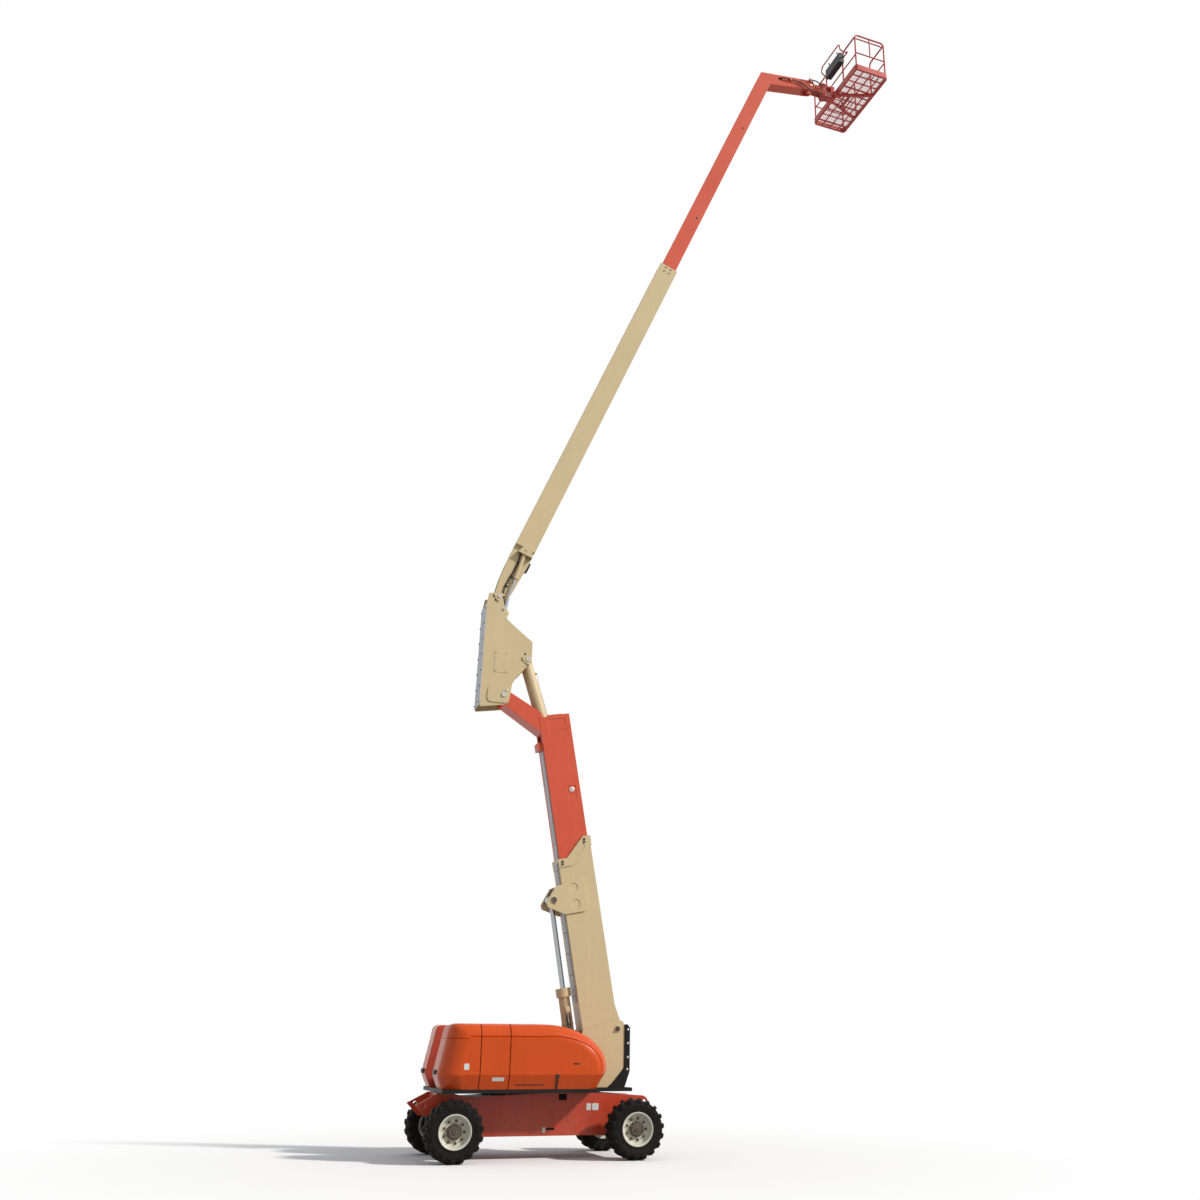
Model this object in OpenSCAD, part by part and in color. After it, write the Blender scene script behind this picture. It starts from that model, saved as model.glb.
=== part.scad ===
// Articulating boom lift, raised: a wheeled chassis, a slewing turntable, a telescoping tower,
// an upright that stays plumb, a telescoping main boom and a work platform.
// Millimetres. Origin on the ground under the swing axis, X toward the platform, Z up.

/* [Chassis] */
// Distance between the axles
wheelbase = 3050; // [2800:10:3300]
// Distance between the tyre centres of one axle
track = 2050; // [1960:10:2200]
// Width of the welded frame
frame_w = 1040; // [940:10:1060]
// Height of the frame's underside between the axles
frame_bottom = 360; // [320:5:420]
// Height of the frame's top edges
frame_top = 1030; // [1000:1:1035]
// Thickness of the side plates around the bearing well and the tie-downs
frame_plate = 40; // [25:1:60]
// Radius of the tie-down holes
tie_down_r = 32; // [20:1:40]

/* [Wheels] */
// Radius over the tyre lugs
tyre_r = 480; // [460:5:500]
// Width of the tyre
tyre_w = 370; // [340:5:400]
// Lugs on each side of a tyre
lug_count = 18; // [12:1:22]
// Radius of the rim where the tyre seats
rim_r = 288; // [280:1:300]
// Radius of the hub's end cover
hub_r = 122; // [100:1:130]
// Radius of the wheel spindle
spindle_r = 60; // [45:1:70]
// Distance of the kingpins from the middle of the machine
kingpin_y = 770; // [740:5:780]
// Radius of a kingpin
kingpin_r = 35; // [25:1:45]

/* [Turntable] */
// Thickness of the turntable deck
deck_t = 60; // [40:5:70]
// Height of the hood tops
hood_top = 2125; // [2100:5:2160]
// Half width over the hoods
hood_half = 1150; // [1080:5:1180]
// Thickness of the hood shells
hood_wall = 12; // [8:1:18]
// Seam between the rear and the middle hood
seam_rear = -1160; // [-1220:5:-1120]
// Seam between the middle hood and the hood door
seam_door = -670; // [-740:5:-600]
// Half width of the slot that the tower folds into
slot_half = 340; // [320:5:350]

/* [Tower] */
// Tower foot pin, forward of the swing axis
foot_x = 1433; // [1400:1:1450]
// Tower foot pin, above the ground
foot_z = 2075; // [2050:1:2100]
// Backward lean of the raised tower in degrees
tower_lean = 10.4; // [9:0.1:12]
// Depth of the tower's base tube
tower_depth = 650; // [630:5:670]
// Width of the tower's base tube
tower_w = 430; // [420:2:440]
// Wall of the tower tubes
tower_wall = 10; // [8:1:12]
// Length of the tower's fly tube that shows when it is run out
fly_shown = 2330; // [2250:10:2400]
// Radius of the tower's main pins
tower_pin_r = 45; // [35:1:50]

/* [Upright] */
// Clear width between the upright's side plates
upright_gap = 410; // [406:1:416]
// Thickness of the upright's side plates
upright_plate = 22; // [15:1:30]
// Radius of the boom pivot pin
boom_pin_r = 40; // [30:1:45]

/* [Main boom] */
// Angle of the main boom above level in degrees
boom_angle = 67.45; // [64:0.05:70]
// Length of the base tube from the boom pivot
boom_len = 8950; // [8700:10:9200]
// Depth of the base tube
boom_depth = 415; // [405:5:430]
// Width of the base tube
boom_w = 330; // [320:2:340]
// Wall of the boom tubes
boom_wall = 9; // [7:1:11]
// Depth of the fly tube
boom_fly_depth = 335; // [320:5:345]
// Width of the fly tube
boom_fly_w = 262; // [250:2:270]

/* [Platform] */
// Length of the platform across the boom
deck_len = 2130; // [1900:10:2440]
// Depth of the platform along the boom
deck_dep = 910; // [840:10:940]
// Height of the top rail above the platform floor
rail_h = 1100; // [1000:10:1150]
// Diameter of the rail tubes
rail_d = 40; // [32:1:44]
// Height of the toe boards
toe_h = 150; // [100:5:180]
// Turn of the platform from square in degrees
deck_turn = 3.5; // [0:0.5:6]

/* [Hidden] */
$fn = 48;
pin_gap = 0.4;
seat_gap = 0.3;
axle_x = wheelbase / 2;
frame_half = frame_w / 2;
axle_top = 650;
axle_z = tyre_r;
well_floor = 975;
deck_z = 1045;
deck_top = deck_z + deck_t;
orange = [0.86, 0.30, 0.12];
red = [0.80, 0.26, 0.16];
cream = [0.84, 0.76, 0.58];
black = [0.08, 0.08, 0.09];
chrome = [0.80, 0.82, 0.84];
grey = [0.70, 0.72, 0.74];

// Tower: its own frame starts at the foot pin, X runs up the tower, Z runs to its rear
foot = [foot_x, foot_z];
tower_dir = 90 + tower_lean;
tower_front = -29;
tower_rear = tower_front + tower_depth;
tower_half = tower_w / 2;
wear_gap = 20;
fly_half = tower_half - tower_wall - 12;
fly_front = tower_front + tower_wall + wear_gap;
fly_rear = tower_rear - tower_wall - wear_gap;
collar_rear_x = 3073;
collar_top_x = 3430;
fly_top = collar_top_x + fly_shown;
fly_tail = fly_top - 3100;
fly_wall = 8;
arm_plate = 18;

// Pins in the plane of the machine, [X, Z]
upright_pin = tower_point([fly_top + 467, 1215]);
boom_pin = upright_pin + [-178, 1946];
level_pin = upright_pin + [439, 738];
lift_pin = upright_pin + [-214, 442];
master_pin = upright_pin + [-73, 1695];
level_eye = tower_point([fly_top - 1407, 303]);
tower_eye = tower_point([2369, 807]);
tower_lift_pin = [735, 1300];
upright_half = upright_gap / 2;
upright_out = upright_half + upright_plate;

// Main boom: its own frame starts at the boom pin, X runs out along it, Z is its upper side
boom_mid = -30;
boom_half = boom_w / 2;
boom_fly_half = boom_fly_w / 2;
boom_tube_x = 1190;
foot_in = 80;
foot_out = 105;
rod_eye_at = [440, -83];
boom_rod_eye = boom_point(rod_eye_at);
master_at = [1137, -63];
master_top = boom_point(master_at);
master_y = -160;
boom_fly_out = 6650;
boom_fly_tail = 1100;
neck_top = boom_point([boom_len + boom_fly_out, boom_mid + boom_fly_depth / 2]);
neck_low = boom_point([boom_len + boom_fly_out - 187, boom_mid - boom_fly_depth / 2]);
tip_pin = neck_top + [1330, -16];
tip_pin_r = 32;
swivel_x = tip_pin.x + 390;
swivel_z = tip_pin.y;

// Route of the hose that hangs in a loop beside the gooseneck, [X, Z] from the tip pin
nose_route = [[-540, -20], [-470, -20], [-395, -24], [-310, -36], [-228, -62], [-150, -104],
    [-75, -156], [0, -206], [80, -246], [165, -258], [243, -226], [287, -150], [293, -62], [275, 24],
    [229, 95], [157, 130], [75, 138], [0, 138]];
nose_y = -168;
hose_d = 30;

// Platform frame: origin on the swivel axis at the underside of the floor
floor_drop = 29;
floor_z = swivel_z - floor_drop;
drive_h = 300;
deck_near = 340;
deck_far = deck_near + deck_dep;
deck_half = deck_len / 2;

// A point of the tower's frame or of the boom's frame, as [X, Z] of the machine
function turned(p, a) = [p.x * cos(a) - p.y * sin(a), p.x * sin(a) + p.y * cos(a)];
function tower_point(p) = foot + turned(p, tower_dir);
function boom_point(p) = boom_pin + turned(p, boom_angle);
function unit(v) = v / norm(v);
function left_of(v) = [-v.y, v.x];
// Moves every edge of a counter-clockwise outline inward by d
function inset(p, d) = [for (i = [0 : len(p) - 1])
    let (before = unit(p[i] - p[(i + len(p) - 1) % len(p)]),
         after = unit(p[(i + 1) % len(p)] - p[i]),
         n1 = left_of(before), n2 = left_of(after))
    p[i] + (n1 + n2) * d / (1 + n1 * n2)];
// Points on an arc about c, from angle a0 to a1
function arc(c, r, a0, a1, n) = [for (i = [0 : n]) let (a = a0 + (a1 - a0) * i / n) c + r * [cos(a), sin(a)]];

// The arc of radius r that rounds corner b between a and c
function corner_arc(a, b, c, r, n) = let (u = unit(a - b), v = unit(c - b), half = acos(u * v) / 2,
    mid = b + unit(u + v) * r / sin(half),
    from = b + u * r / tan(half) - mid, to = b + v * r / tan(half) - mid,
    start = atan2(from.y, from.x), sweep = atan2(from.x * to.y - from.y * to.x, from * to))
    arc(mid, r, start, start + sweep, n);
// Rounds each corner of an outline by its own radius
function rounded(p, r, n = 4) = [for (i = [0 : len(p) - 1])
    each corner_arc(p[(i + len(p) - 1) % len(p)], p[i], p[(i + 1) % len(p)], r[i], n)];
// A slot with round ends, between the centres a and b
function slot_outline(a, b, r) = let (t = atan2(b.y - a.y, b.x - a.x))
    concat(arc(a, r, t + 90, t + 270, 8), arc(b, r, t - 90, t + 90, 8));

// An outline in X and Z, extruded from y0 to y1
module side_plate(outline, y0, y1) {
    translate([0, y1, 0]) rotate([90, 0, 0]) linear_extrude(y1 - y0) polygon(outline);
}

// A round bar across the machine at p = [X, Z]
module cross_bar(p, r, y0, y1) {
    translate([p.x, y0, p.y]) rotate([-90, 0, 0]) cylinder(r = r, h = y1 - y0);
}

module in_tower() {
    translate([foot.x, 0, foot.y]) rotate([0, -tower_dir, 0]) children();
}

module in_boom() {
    translate([boom_pin.x, 0, boom_pin.y]) rotate([0, -boom_angle, 0]) children();
}

// Local X runs from pin a toward pin b
module from_pin(a, b) {
    translate([a.x, 0, a.y]) rotate([0, -atan2(b.y - a.y, b.x - a.x), 0]) children();
}

module both_sides() {
    children();
    mirror([0, 1, 0]) children();
}

// Plates on both sides of the middle plane, between the half widths y0 and y1
module plate_pair(outline, y0, y1) {
    both_sides() side_plate(outline, y0, y1);
}

// A tube along X from x0 to x1, between z0 and z1, of half width half
module box_tube(x0, x1, z0, z1, half, wall) {
    difference() {
        translate([x0, -half, z0]) cube([x1 - x0, 2 * half, z1 - z0]);
        translate([x0 - 1, wall - half, z0 + wall])
            cube([x1 - x0 + 2, 2 * (half - wall), z1 - z0 - 2 * wall]);
    }
}

// A bent tube along points, with elbows of radius bend
module pipe(points, d, bend) {
    last = len(points) - 1;
    function heading(i) = unit(points[i + 1] - points[i]);
    function trim(i) = i == 0 || i == last ? 0
        : bend * tan(acos(max(-1, min(1, heading(i - 1) * heading(i)))) / 2);
    for (i = [0 : last - 1]) {
        h = heading(i);
        start = points[i] + h * trim(i);
        length = norm(points[i + 1] - points[i]) - trim(i) - trim(i + 1);
        tilt = acos(h.z);
        translate(start) rotate([0, tilt, atan2(h.y, h.x)]) cylinder(d = d, h = length, $fn = 24);
    }
    for (i = [1 : 1 : last - 1]) {
        h = heading(i - 1);
        axis = unit(cross(h, heading(i)));
        inward = cross(axis, h);
        centre = points[i] - h * trim(i) + inward * bend;
        turn = acos(max(-1, min(1, h * heading(i))));
        multmatrix([[-inward.x, h.x, axis.x, centre.x], [-inward.y, h.y, axis.y, centre.y],
                    [-inward.z, h.z, axis.z, centre.z], [0, 0, 0, 1]])
            rotate_extrude(angle = turn, $fn = 24) translate([bend, 0]) circle(d = d, $fn = 24);
    }
}

// Welded box frame: side plates stand round the bearing well, the ends carry the tie-down holes
tie_downs = [[-axle_x - 415, 850], [axle_x + 335, 885]];

module chassis_frame() {
    outline = concat(
        [[-axle_x + 345, frame_bottom], [axle_x - 375, frame_bottom], [axle_x - 235, axle_top],
         [axle_x + 355, axle_top], [axle_x + 405, axle_top + 60]],
        arc([axle_x + 275, frame_top - 175], 130, 0, 75, 5),
        [[axle_x + 115, frame_top - 40], [995, frame_top], [50, frame_top], [-1190, frame_top - 60],
         [-axle_x + 60, frame_top], [-axle_x - 205, frame_top], [-axle_x - 555, 855],
         [-axle_x - 352, axle_top], [-axle_x + 200, axle_top]]);
    well = frame_half - frame_plate;
    rib_w = 18;
    color(orange) difference() {
        union() {
            side_plate(outline, -frame_half, frame_half);
            both_sides() for (x = [200, 510])
                translate([x - rib_w / 2, frame_half - 1, 573]) cube([rib_w, 6, 197]);
        }
        translate([-1330, -well, well_floor]) cube([2700, 2 * well, frame_top]);
        for (end = [-1, 1])
            translate([end > 0 ? axle_x + 180 : -axle_x - 700, -well, axle_top - 1])
                cube([520, 2 * well, frame_top]);
        for (p = tie_downs) cross_bar(p, tie_down_r, -frame_w, frame_w);
        both_sides() {
            translate([334, frame_half - 60, 915]) cube([140, 100, 100]);
            translate([134, frame_half - 25, 450]) cube([137, 100, 34]);
        }
    }
}

module axle_beam(x, half, drop) {
    translate([x - 105, -half, axle_z - 120]) cube([210, 2 * half, 240]);
    both_sides() translate([x - 140, 240, axle_z + 119]) cube([280, 200, axle_top - axle_z - 119]);
    translate([x, 0, axle_z - drop]) rotate([90, 0, 0]) cylinder(r = 150, h = 340, center = true);
}

module rear_axle() {
    color(black) {
        axle_beam(-axle_x, 700, 10);
        both_sides() {
            cross_bar([-axle_x, axle_z], 140, 699, track / 2 - 40);
            cross_bar([-axle_x, axle_z], spindle_r, 699, track / 2 + 60);
        }
    }
}

yoke_t = 40;
yoke_gap = 190;

module front_axle() {
    color(black) difference() {
        union() {
            axle_beam(axle_x, kingpin_y - 110, 10);
            both_sides() for (up = [-1, 1])
                translate([axle_x, 0, axle_z + up * (yoke_gap + yoke_t) / 2 - yoke_t / 2]) {
                    translate([0, kingpin_y, 0]) cylinder(r = 85, h = yoke_t);
                    translate([-85, kingpin_y - 115, 0]) cube([170, 115, yoke_t]);
                }
        }
        both_sides() translate([axle_x, kingpin_y, 0]) cylinder(r = kingpin_r + pin_gap, h = frame_top);
    }
}

// Steering knuckle: kingpin, neck, hub drum and wheel spindle
module knuckle() {
    body_h = yoke_gap - 10;
    translate([axle_x, kingpin_y, axle_z]) {
        cylinder(r = kingpin_r, h = yoke_gap + 2 * yoke_t, center = true);
        cylinder(r = 85, h = body_h, center = true);
        translate([-70, 0, -body_h / 2]) cube([140, 125, body_h]);
    }
    cross_bar([axle_x, axle_z], 140, kingpin_y + 112, track / 2 - 40);
    cross_bar([axle_x, axle_z], spindle_r, kingpin_y + 112, track / 2 + 60);
}

module knuckle_left() { color(black) knuckle(); }
module knuckle_right() { color(black) mirror([0, 1, 0]) knuckle(); }

// Slewing ring bolted in the frame's well
module swing_bearing() {
    color(grey) translate([0, 0, well_floor]) difference() {
        cylinder(r = 460, h = deck_z - well_floor);
        translate([0, 0, -1]) cylinder(r = 330, h = deck_z);
    }
}

// Puts a wheel drawn about Z, outer face up, at a corner of the machine
module corner(end, hand) {
    translate([end * axle_x, hand * track / 2, axle_z]) rotate([-90 * hand, 0, 0]) children();
}

module tyre() {
    half = tyre_w / 2;
    crown = tyre_r - 30;
    bead = rim_r + seat_gap;
    lug = [[18, crown - 20], [18, tyre_r], [half - 40, tyre_r], [half - 2, tyre_r - 45],
           [half + 2, tyre_r - 80], [half - 40, tyre_r - 80]];
    color(black) {
        rotate_extrude() polygon([[bead, -half + 20], [bead + 30, -half + 6], [crown - 60, -half],
            [crown - 12, -half + 18], [crown, -half + 70], [crown, half - 70],
            [crown - 12, half - 18], [crown - 60, half], [bead + 30, half - 6], [bead, half - 20]]);
        for (face = [0, 1], i = [0 : lug_count - 1])
            rotate([180 * face, 0, 0]) rotate([0, 0, (i + 0.5 * face) * 360 / lug_count]) lug_block(lug, 62);
    }
}

// One tread lug: its outline is [distance from the middle of the tread, radius]
module lug_block(outline, width) {
    rotate([90, 0, 0]) translate([0, 0, -width / 2]) linear_extrude(width)
        polygon([for (p = outline) [p.y, p.x]]);
}

module wheel() {
    half = tyre_w / 2;
    color(cream)
        rotate_extrude() polygon([[rim_r - 16, -half + 18], [rim_r + 14, -half + 2], [rim_r + 14, -half - 8],
            [rim_r - 4, -half - 8], [rim_r - 26, -half + 14], [rim_r - 26, 75], [hub_r + 1, 75],
            [hub_r + 1, 92], [rim_r - 60, 92], [rim_r - 26, 118], [rim_r - 26, half - 14],
            [rim_r - 4, half + 8], [rim_r + 14, half + 8], [rim_r + 14, half - 2], [rim_r, half - 16],
            [rim_r, -half + 16]]);
}

module hub() {
    color(black) difference() {
        union() {
            translate([0, 0, -30]) cylinder(r = hub_r, h = 165);
            translate([0, 0, -30]) cylinder(r = hub_r + 48, h = 105);
            translate([0, 0, 134]) cylinder(r = hub_r - 30, h = 14);
        }
        translate([0, 0, -31]) cylinder(r = spindle_r + pin_gap, h = 96);
    }
}

module tyre_front_right() { corner(1, -1) tyre(); }
module tyre_front_left() { corner(1, 1) tyre(); }
module tyre_rear_right() { corner(-1, -1) tyre(); }
module tyre_rear_left() { corner(-1, 1) tyre(); }
module wheel_front_right() { corner(1, -1) wheel(); }
module wheel_front_left() { corner(1, 1) wheel(); }
module wheel_rear_right() { corner(-1, -1) wheel(); }
module wheel_rear_left() { corner(-1, 1) wheel(); }
module hub_front_right() { corner(1, -1) hub(); }
module hub_front_left() { corner(1, 1) hub(); }
module hub_rear_right() { corner(-1, -1) hub(); }
module hub_rear_left() { corner(-1, 1) hub(); }

// Deck of the turntable, with the lugs of the tower's lift cylinder
module turntable_deck() {
    half = hood_half - 95;
    edge = [[hood_tail, half - 70], [hood_tail + 50, half], [hood_nose, half], [hood_nose, 420], [1668, 420]];
    outline = concat(edge, [for (i = [len(edge) - 1 : -1 : 0]) [edge[i].x, -edge[i].y]]);
    lug = concat([[tower_lift_pin.x - 150, deck_top - 1], [tower_lift_pin.x + 150, deck_top - 1]],
                 arc(tower_lift_pin, 105, 0, 180, 12));
    color(black) {
        translate([0, 0, deck_z]) linear_extrude(deck_t) polygon(outline);
        plate_pair(lug, 105, 140);
        cross_bar(tower_lift_pin, tower_pin_r, -140, 140);
    }
}

support_in = 245;
support_out = 285;

// The two plates that carry the tower's foot pin
module tower_support() {
    outline = concat([[640, deck_top], [1254, deck_top], [1430, 1250], [1556, 1437], [1556, 2080]],
                     arc([1456, 2114], 100, 0, 90, 6),
                     [[1390, 2214], [800, 2056], [700, 1700]]);
    color(cream) {
        plate_pair(outline, support_in, support_out);
        cross_bar(foot, tower_pin_r, -support_out - 12, support_out + 12);
        both_sides() cross_bar(foot, tower_pin_r + 14, support_out, support_out + 10);
    }
}

// Folded cover in front of the tower's foot
module front_cover() {
    skin = 6;
    shell = [[1280, deck_top], [1563, deck_top], [1654, 1364], [1654, 2090], [1606, 2146],
             [1562, 2146], [1562, 1435]];
    half = support_out + 20;
    color(black) difference() {
        side_plate(shell, -half, half);
        side_plate([[1200, deck_top - 1], [1557, deck_top - 1], [1648, 1366], [1648, 2088], [1604, 2140],
                    [1500, 2140]], skin - half, half - skin);
        side_plate([[1100, deck_top - 1], [1300, deck_top - 1], [1564, 1400], [1564, 2300], [1100, 2300]],
                   -support_out - 1, support_out + 1);
    }
}

hood_tail = -1735;
hood_nose = 900;

// Hood outlines; d moves the skin inward, and opens the bottom and the inner side
function hood_section(d) = let (low = d > 0 ? deck_top - 50 : deck_top, inner = d > 0 ? 0 : slot_half + 55)
    concat([[inner, low], [hood_half - 95 - d, low], [hood_half - 90 - d, deck_top + 5],
            [hood_half - d, 1330], [hood_half - 8 - d, 1890]],
           arc([hood_half - 218, hood_top - 225], 210 - d, 5, 90, 9), [[inner, hood_top - 15 - d]]);
function hood_profile(d) = let (low = d > 0 ? deck_top - 50 : deck_top)
    concat([[hood_tail + d, low], [hood_nose - d, low]],
           [for (i = [0 : 10]) let (a = 90 * i / 10)
               [-150 + (1205 - d) * pow(cos(a), 0.95), 1420 + (hood_top - 1420 - d) * pow(sin(a), 0.95)]],
           arc([-1560, hood_top - 110], 110 - d, 90, 170, 4),
           [[-1800 + d, 1400], [-1813 + d, 1305], [-1740 + d, deck_top + 10]]);
function hood_plan(d) = [[-1813 + d, 0], [1055 - d, 0], [1055 - d, hood_half - 330],
    [960 - d, hood_half - 120 - d], [700, hood_half - d], [-1420, hood_half - d],
    [-1660 + d, hood_half - 60 - d], [-1780 + d, hood_half - 220 - d], [-1813 + d, hood_half - 350]];

module hood_solid(d) {
    intersection() {
        translate([-2000, 0, 0]) rotate([90, 0, 90]) linear_extrude(3400) polygon(hood_section(d));
        side_plate(hood_profile(d), -1, 1400);
        linear_extrude(2500) polygon(hood_plan(d));
    }
}

// Edge of the pressed side panel, d outside its middle line
function panel_edge(d) = concat([[-2100, 1327 - d], [850 + d, 1327 - d]],
    [for (i = [0 : 10]) let (a = 9 * i)
        [-150 + (1075 + d) * pow(cos(a), 1.25), 1400 + (490 + d) * pow(sin(a), 1.25)]],
    [[-2100, 1890 + d]]);

// The groove round the panel, the vent slit under it and the handle's cup, each cut to its own depth
module hood_cuts() {
    groove = 7;
    in = slot_half + 60;
    difference() {
        side_plate(panel_edge(groove), in, 1400);
        side_plate(panel_edge(-groove), in - 1, 1401);
        hood_solid(hood_wall / 2);
    }
    difference() {
        union() {
            translate([-575, in, 1150]) cube([578, 1000, 16]);
            side_plate(slot_outline([430, 1503], [500, 1503], 27), in, 1400);
        }
        hood_solid(hood_wall - 3);
    }
}

module hood_part(x0, x1) {
    intersection() {
        difference() {
            hood_solid(0);
            hood_solid(hood_wall);
            hood_cuts();
        }
        translate([x0, 0, 0]) cube([x1 - x0, 1400, 2500]);
    }
}

seam = 6;
hinge_y = slot_half + 30;
hinge_z = hood_top - 22;
hinge_r = 13;
hinge_at = [-560, -100];

module fixed_hood() {
    hood_part(-2000, seam_rear - seam / 2);
    hood_part(seam_rear + seam / 2, seam_door - seam / 2);
}

// Front hood section, hung from two hinges on the slot wall
module hood_door() {
    hood_part(seam_door + seam / 2, 1200);
    for (x = hinge_at) translate([x, hinge_y, hinge_z]) rotate([0, 90, 0]) difference() {
        union() {
            cylinder(r = hinge_r, h = 70, $fn = 32);
            translate([-hinge_r, 0, 0]) cube([8, 60, 70]);
        }
        translate([0, 0, -1]) cylinder(r = 6 + pin_gap, h = 72, $fn = 32);
    }
}

module hood_right() { color(orange) mirror([0, 1, 0]) fixed_hood(); }
module hood_left() { color(orange) fixed_hood(); }
module hood_door_right() { color(orange) mirror([0, 1, 0]) hood_door(); }
module hood_door_left() { color(orange) hood_door(); }

// The two walls of the slot, with the door hinges' pins
module slot_walls() {
    low = deck_top;
    outline = [[-1200, low], [760, low], [880, 1300], [900, 1500], [740, 1760], [420, 1950],
               [0, hood_top - 70], [-200, hood_top - 45], [-1200, hood_top - 45]];
    color(red) both_sides() {
        side_plate(outline, slot_half, slot_half + 20);
        for (x = hinge_at) {
            translate([x - 40, hinge_y, hinge_z]) rotate([0, 90, 0]) cylinder(r = 6, h = 150, $fn = 32);
            for (side = [-40, 71]) {
                translate([x + side, hinge_y, hinge_z]) rotate([0, 90, 0])
                    cylinder(r = hinge_r, h = 39, $fn = 32);
                translate([x + side, slot_half, hinge_z - 60]) cube([39, 20, 60]);
                translate([x + side, slot_half + 19, hinge_z - hinge_r]) cube([39, 11, hinge_r]);
            }
        }
    }
}

// Cast block at the turntable's tail, on both sides of the slot and under it
module counterweight() {
    color(black) {
        both_sides() translate([-1640, slot_half + 50, deck_top])
            cube([400, hood_half - slot_half - 250, 750]);
        translate([-1560, -slot_half - 51, deck_top]) cube([320, 2 * slot_half + 102, 250]);
    }
}

// What stands under a hood keeps this far from the slot wall and from the hood's side
under_in = slot_half + 140;
under_out = hood_half - 190;

module engine_block() {
    color(grey) translate([-980, under_in, deck_top]) cube([1150, under_out - under_in, 640]);
}

module oil_tank() {
    color(grey) translate([-560, -under_out, deck_top]) cube([860, under_out - under_in, 560]);
}

// Base tube of the tower; its mouth is cut back at the rear, its foot turns on the pin
module tower_base() {
    tube = [[60, tower_front], [collar_top_x, tower_front], [collar_top_x, 100], [collar_rear_x, 460],
            [collar_rear_x, tower_rear], [60, tower_rear]];
    lug = concat([[420, tower_front + 1], [420, 260], [120, 260]], arc([0, 0], 105, 120, 285, 12));
    inner = tower_half - tower_wall;
    pad_l = 150;
    color(cream) in_tower() difference() {
        union() {
            difference() {
                side_plate(tube, -tower_half, tower_half);
                translate([80, -inner, tower_front + tower_wall])
                    cube([collar_top_x, 2 * inner, tower_depth - 2 * tower_wall]);
            }
            // Wear pads that guide the fly tube, clear of its conduit and of its pin
            translate([collar_top_x - pad_l - 30, -150, tower_front + 1])
                cube([pad_l, 300, fly_front - seat_gap - tower_front - 1]);
            for (y = [-inner, 70])
                translate([collar_rear_x - pad_l - 20, y, fly_rear + seat_gap])
                    cube([pad_l, y < 0 ? 55 : 110, tower_rear - fly_rear - 1]);
            for (z = [260, 430]) both_sides()
                translate([collar_rear_x - pad_l - 20, fly_half + seat_gap, z])
                    cube([pad_l, tower_half - fly_half - 1, 120]);
            plate_pair(lug, tower_half - tower_wall - 30, tower_half);
            cross_bar([0, 0], 80, -support_in + 3, support_in - 3);
        }
        cross_bar([0, 0], tower_pin_r + pin_gap, -400, 400);
    }
}

bracket_out = tower_half + 28;

// Plates on the tower's sides that take the lift cylinder's rod
module tower_bracket() {
    edge = rounded([[2344, 948], [2260, 948], [2084, 640], [2090, 200], [2712, 196], [2596, 745]],
                   [8, 40, 90, 85, 110, 20]);
    flange = [[2350, 942], [2335, 924], [2572, 737], [2600, tower_rear + 4], [2619, tower_rear + 4],
              [2592, 742]];
    color(cream) in_tower() difference() {
        union() {
            plate_pair(edge, tower_half, bracket_out);
            plate_pair(flange, tower_half - 50, tower_half + 1);
            both_sides() cross_bar([2369, 807], tower_pin_r + 12, bracket_out - 1, bracket_out + 14);
        }
        both_sides() for (x = [2241, 2533]) cross_bar([x, 417], 80, bracket_out - 8, bracket_out + 1);
    }
}

// Stiffening plates round the mouth of the base tube
module tower_collar() {
    edge = [[2918, tower_rear + 4], [2924, 374], [2995, 217], [3214, 11], [3250, tower_front - 14],
            [collar_top_x, tower_front - 14], [collar_top_x, 100], [collar_rear_x, 460],
            [collar_rear_x, tower_rear + 4]];
    color(cream) in_tower() difference() {
        union() {
            plate_pair(edge, tower_half, tower_half + 14);
            translate([3250, -tower_half - 1, tower_front - 14]) cube([collar_top_x - 3250, tower_w + 2, 14]);
        }
        plate_pair(slot_outline([3252, 122], [3104, 272], 34), tower_half + 8, tower_half + 15);
    }
}

conduit_w = 190;
clamp_x = fly_top - 645;

module tower_conduit() {
    color(grey) in_tower()
        translate([560, -conduit_w / 2 - 40, tower_rear]) cube([collar_rear_x - 620, conduit_w, 18]);
}

module fly_conduit() {
    color(grey) in_tower()
        translate([fly_tail, -conduit_w / 2 - 40, fly_rear])
            cube([clamp_x - seat_gap - fly_tail, conduit_w, 11]);
}

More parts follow.
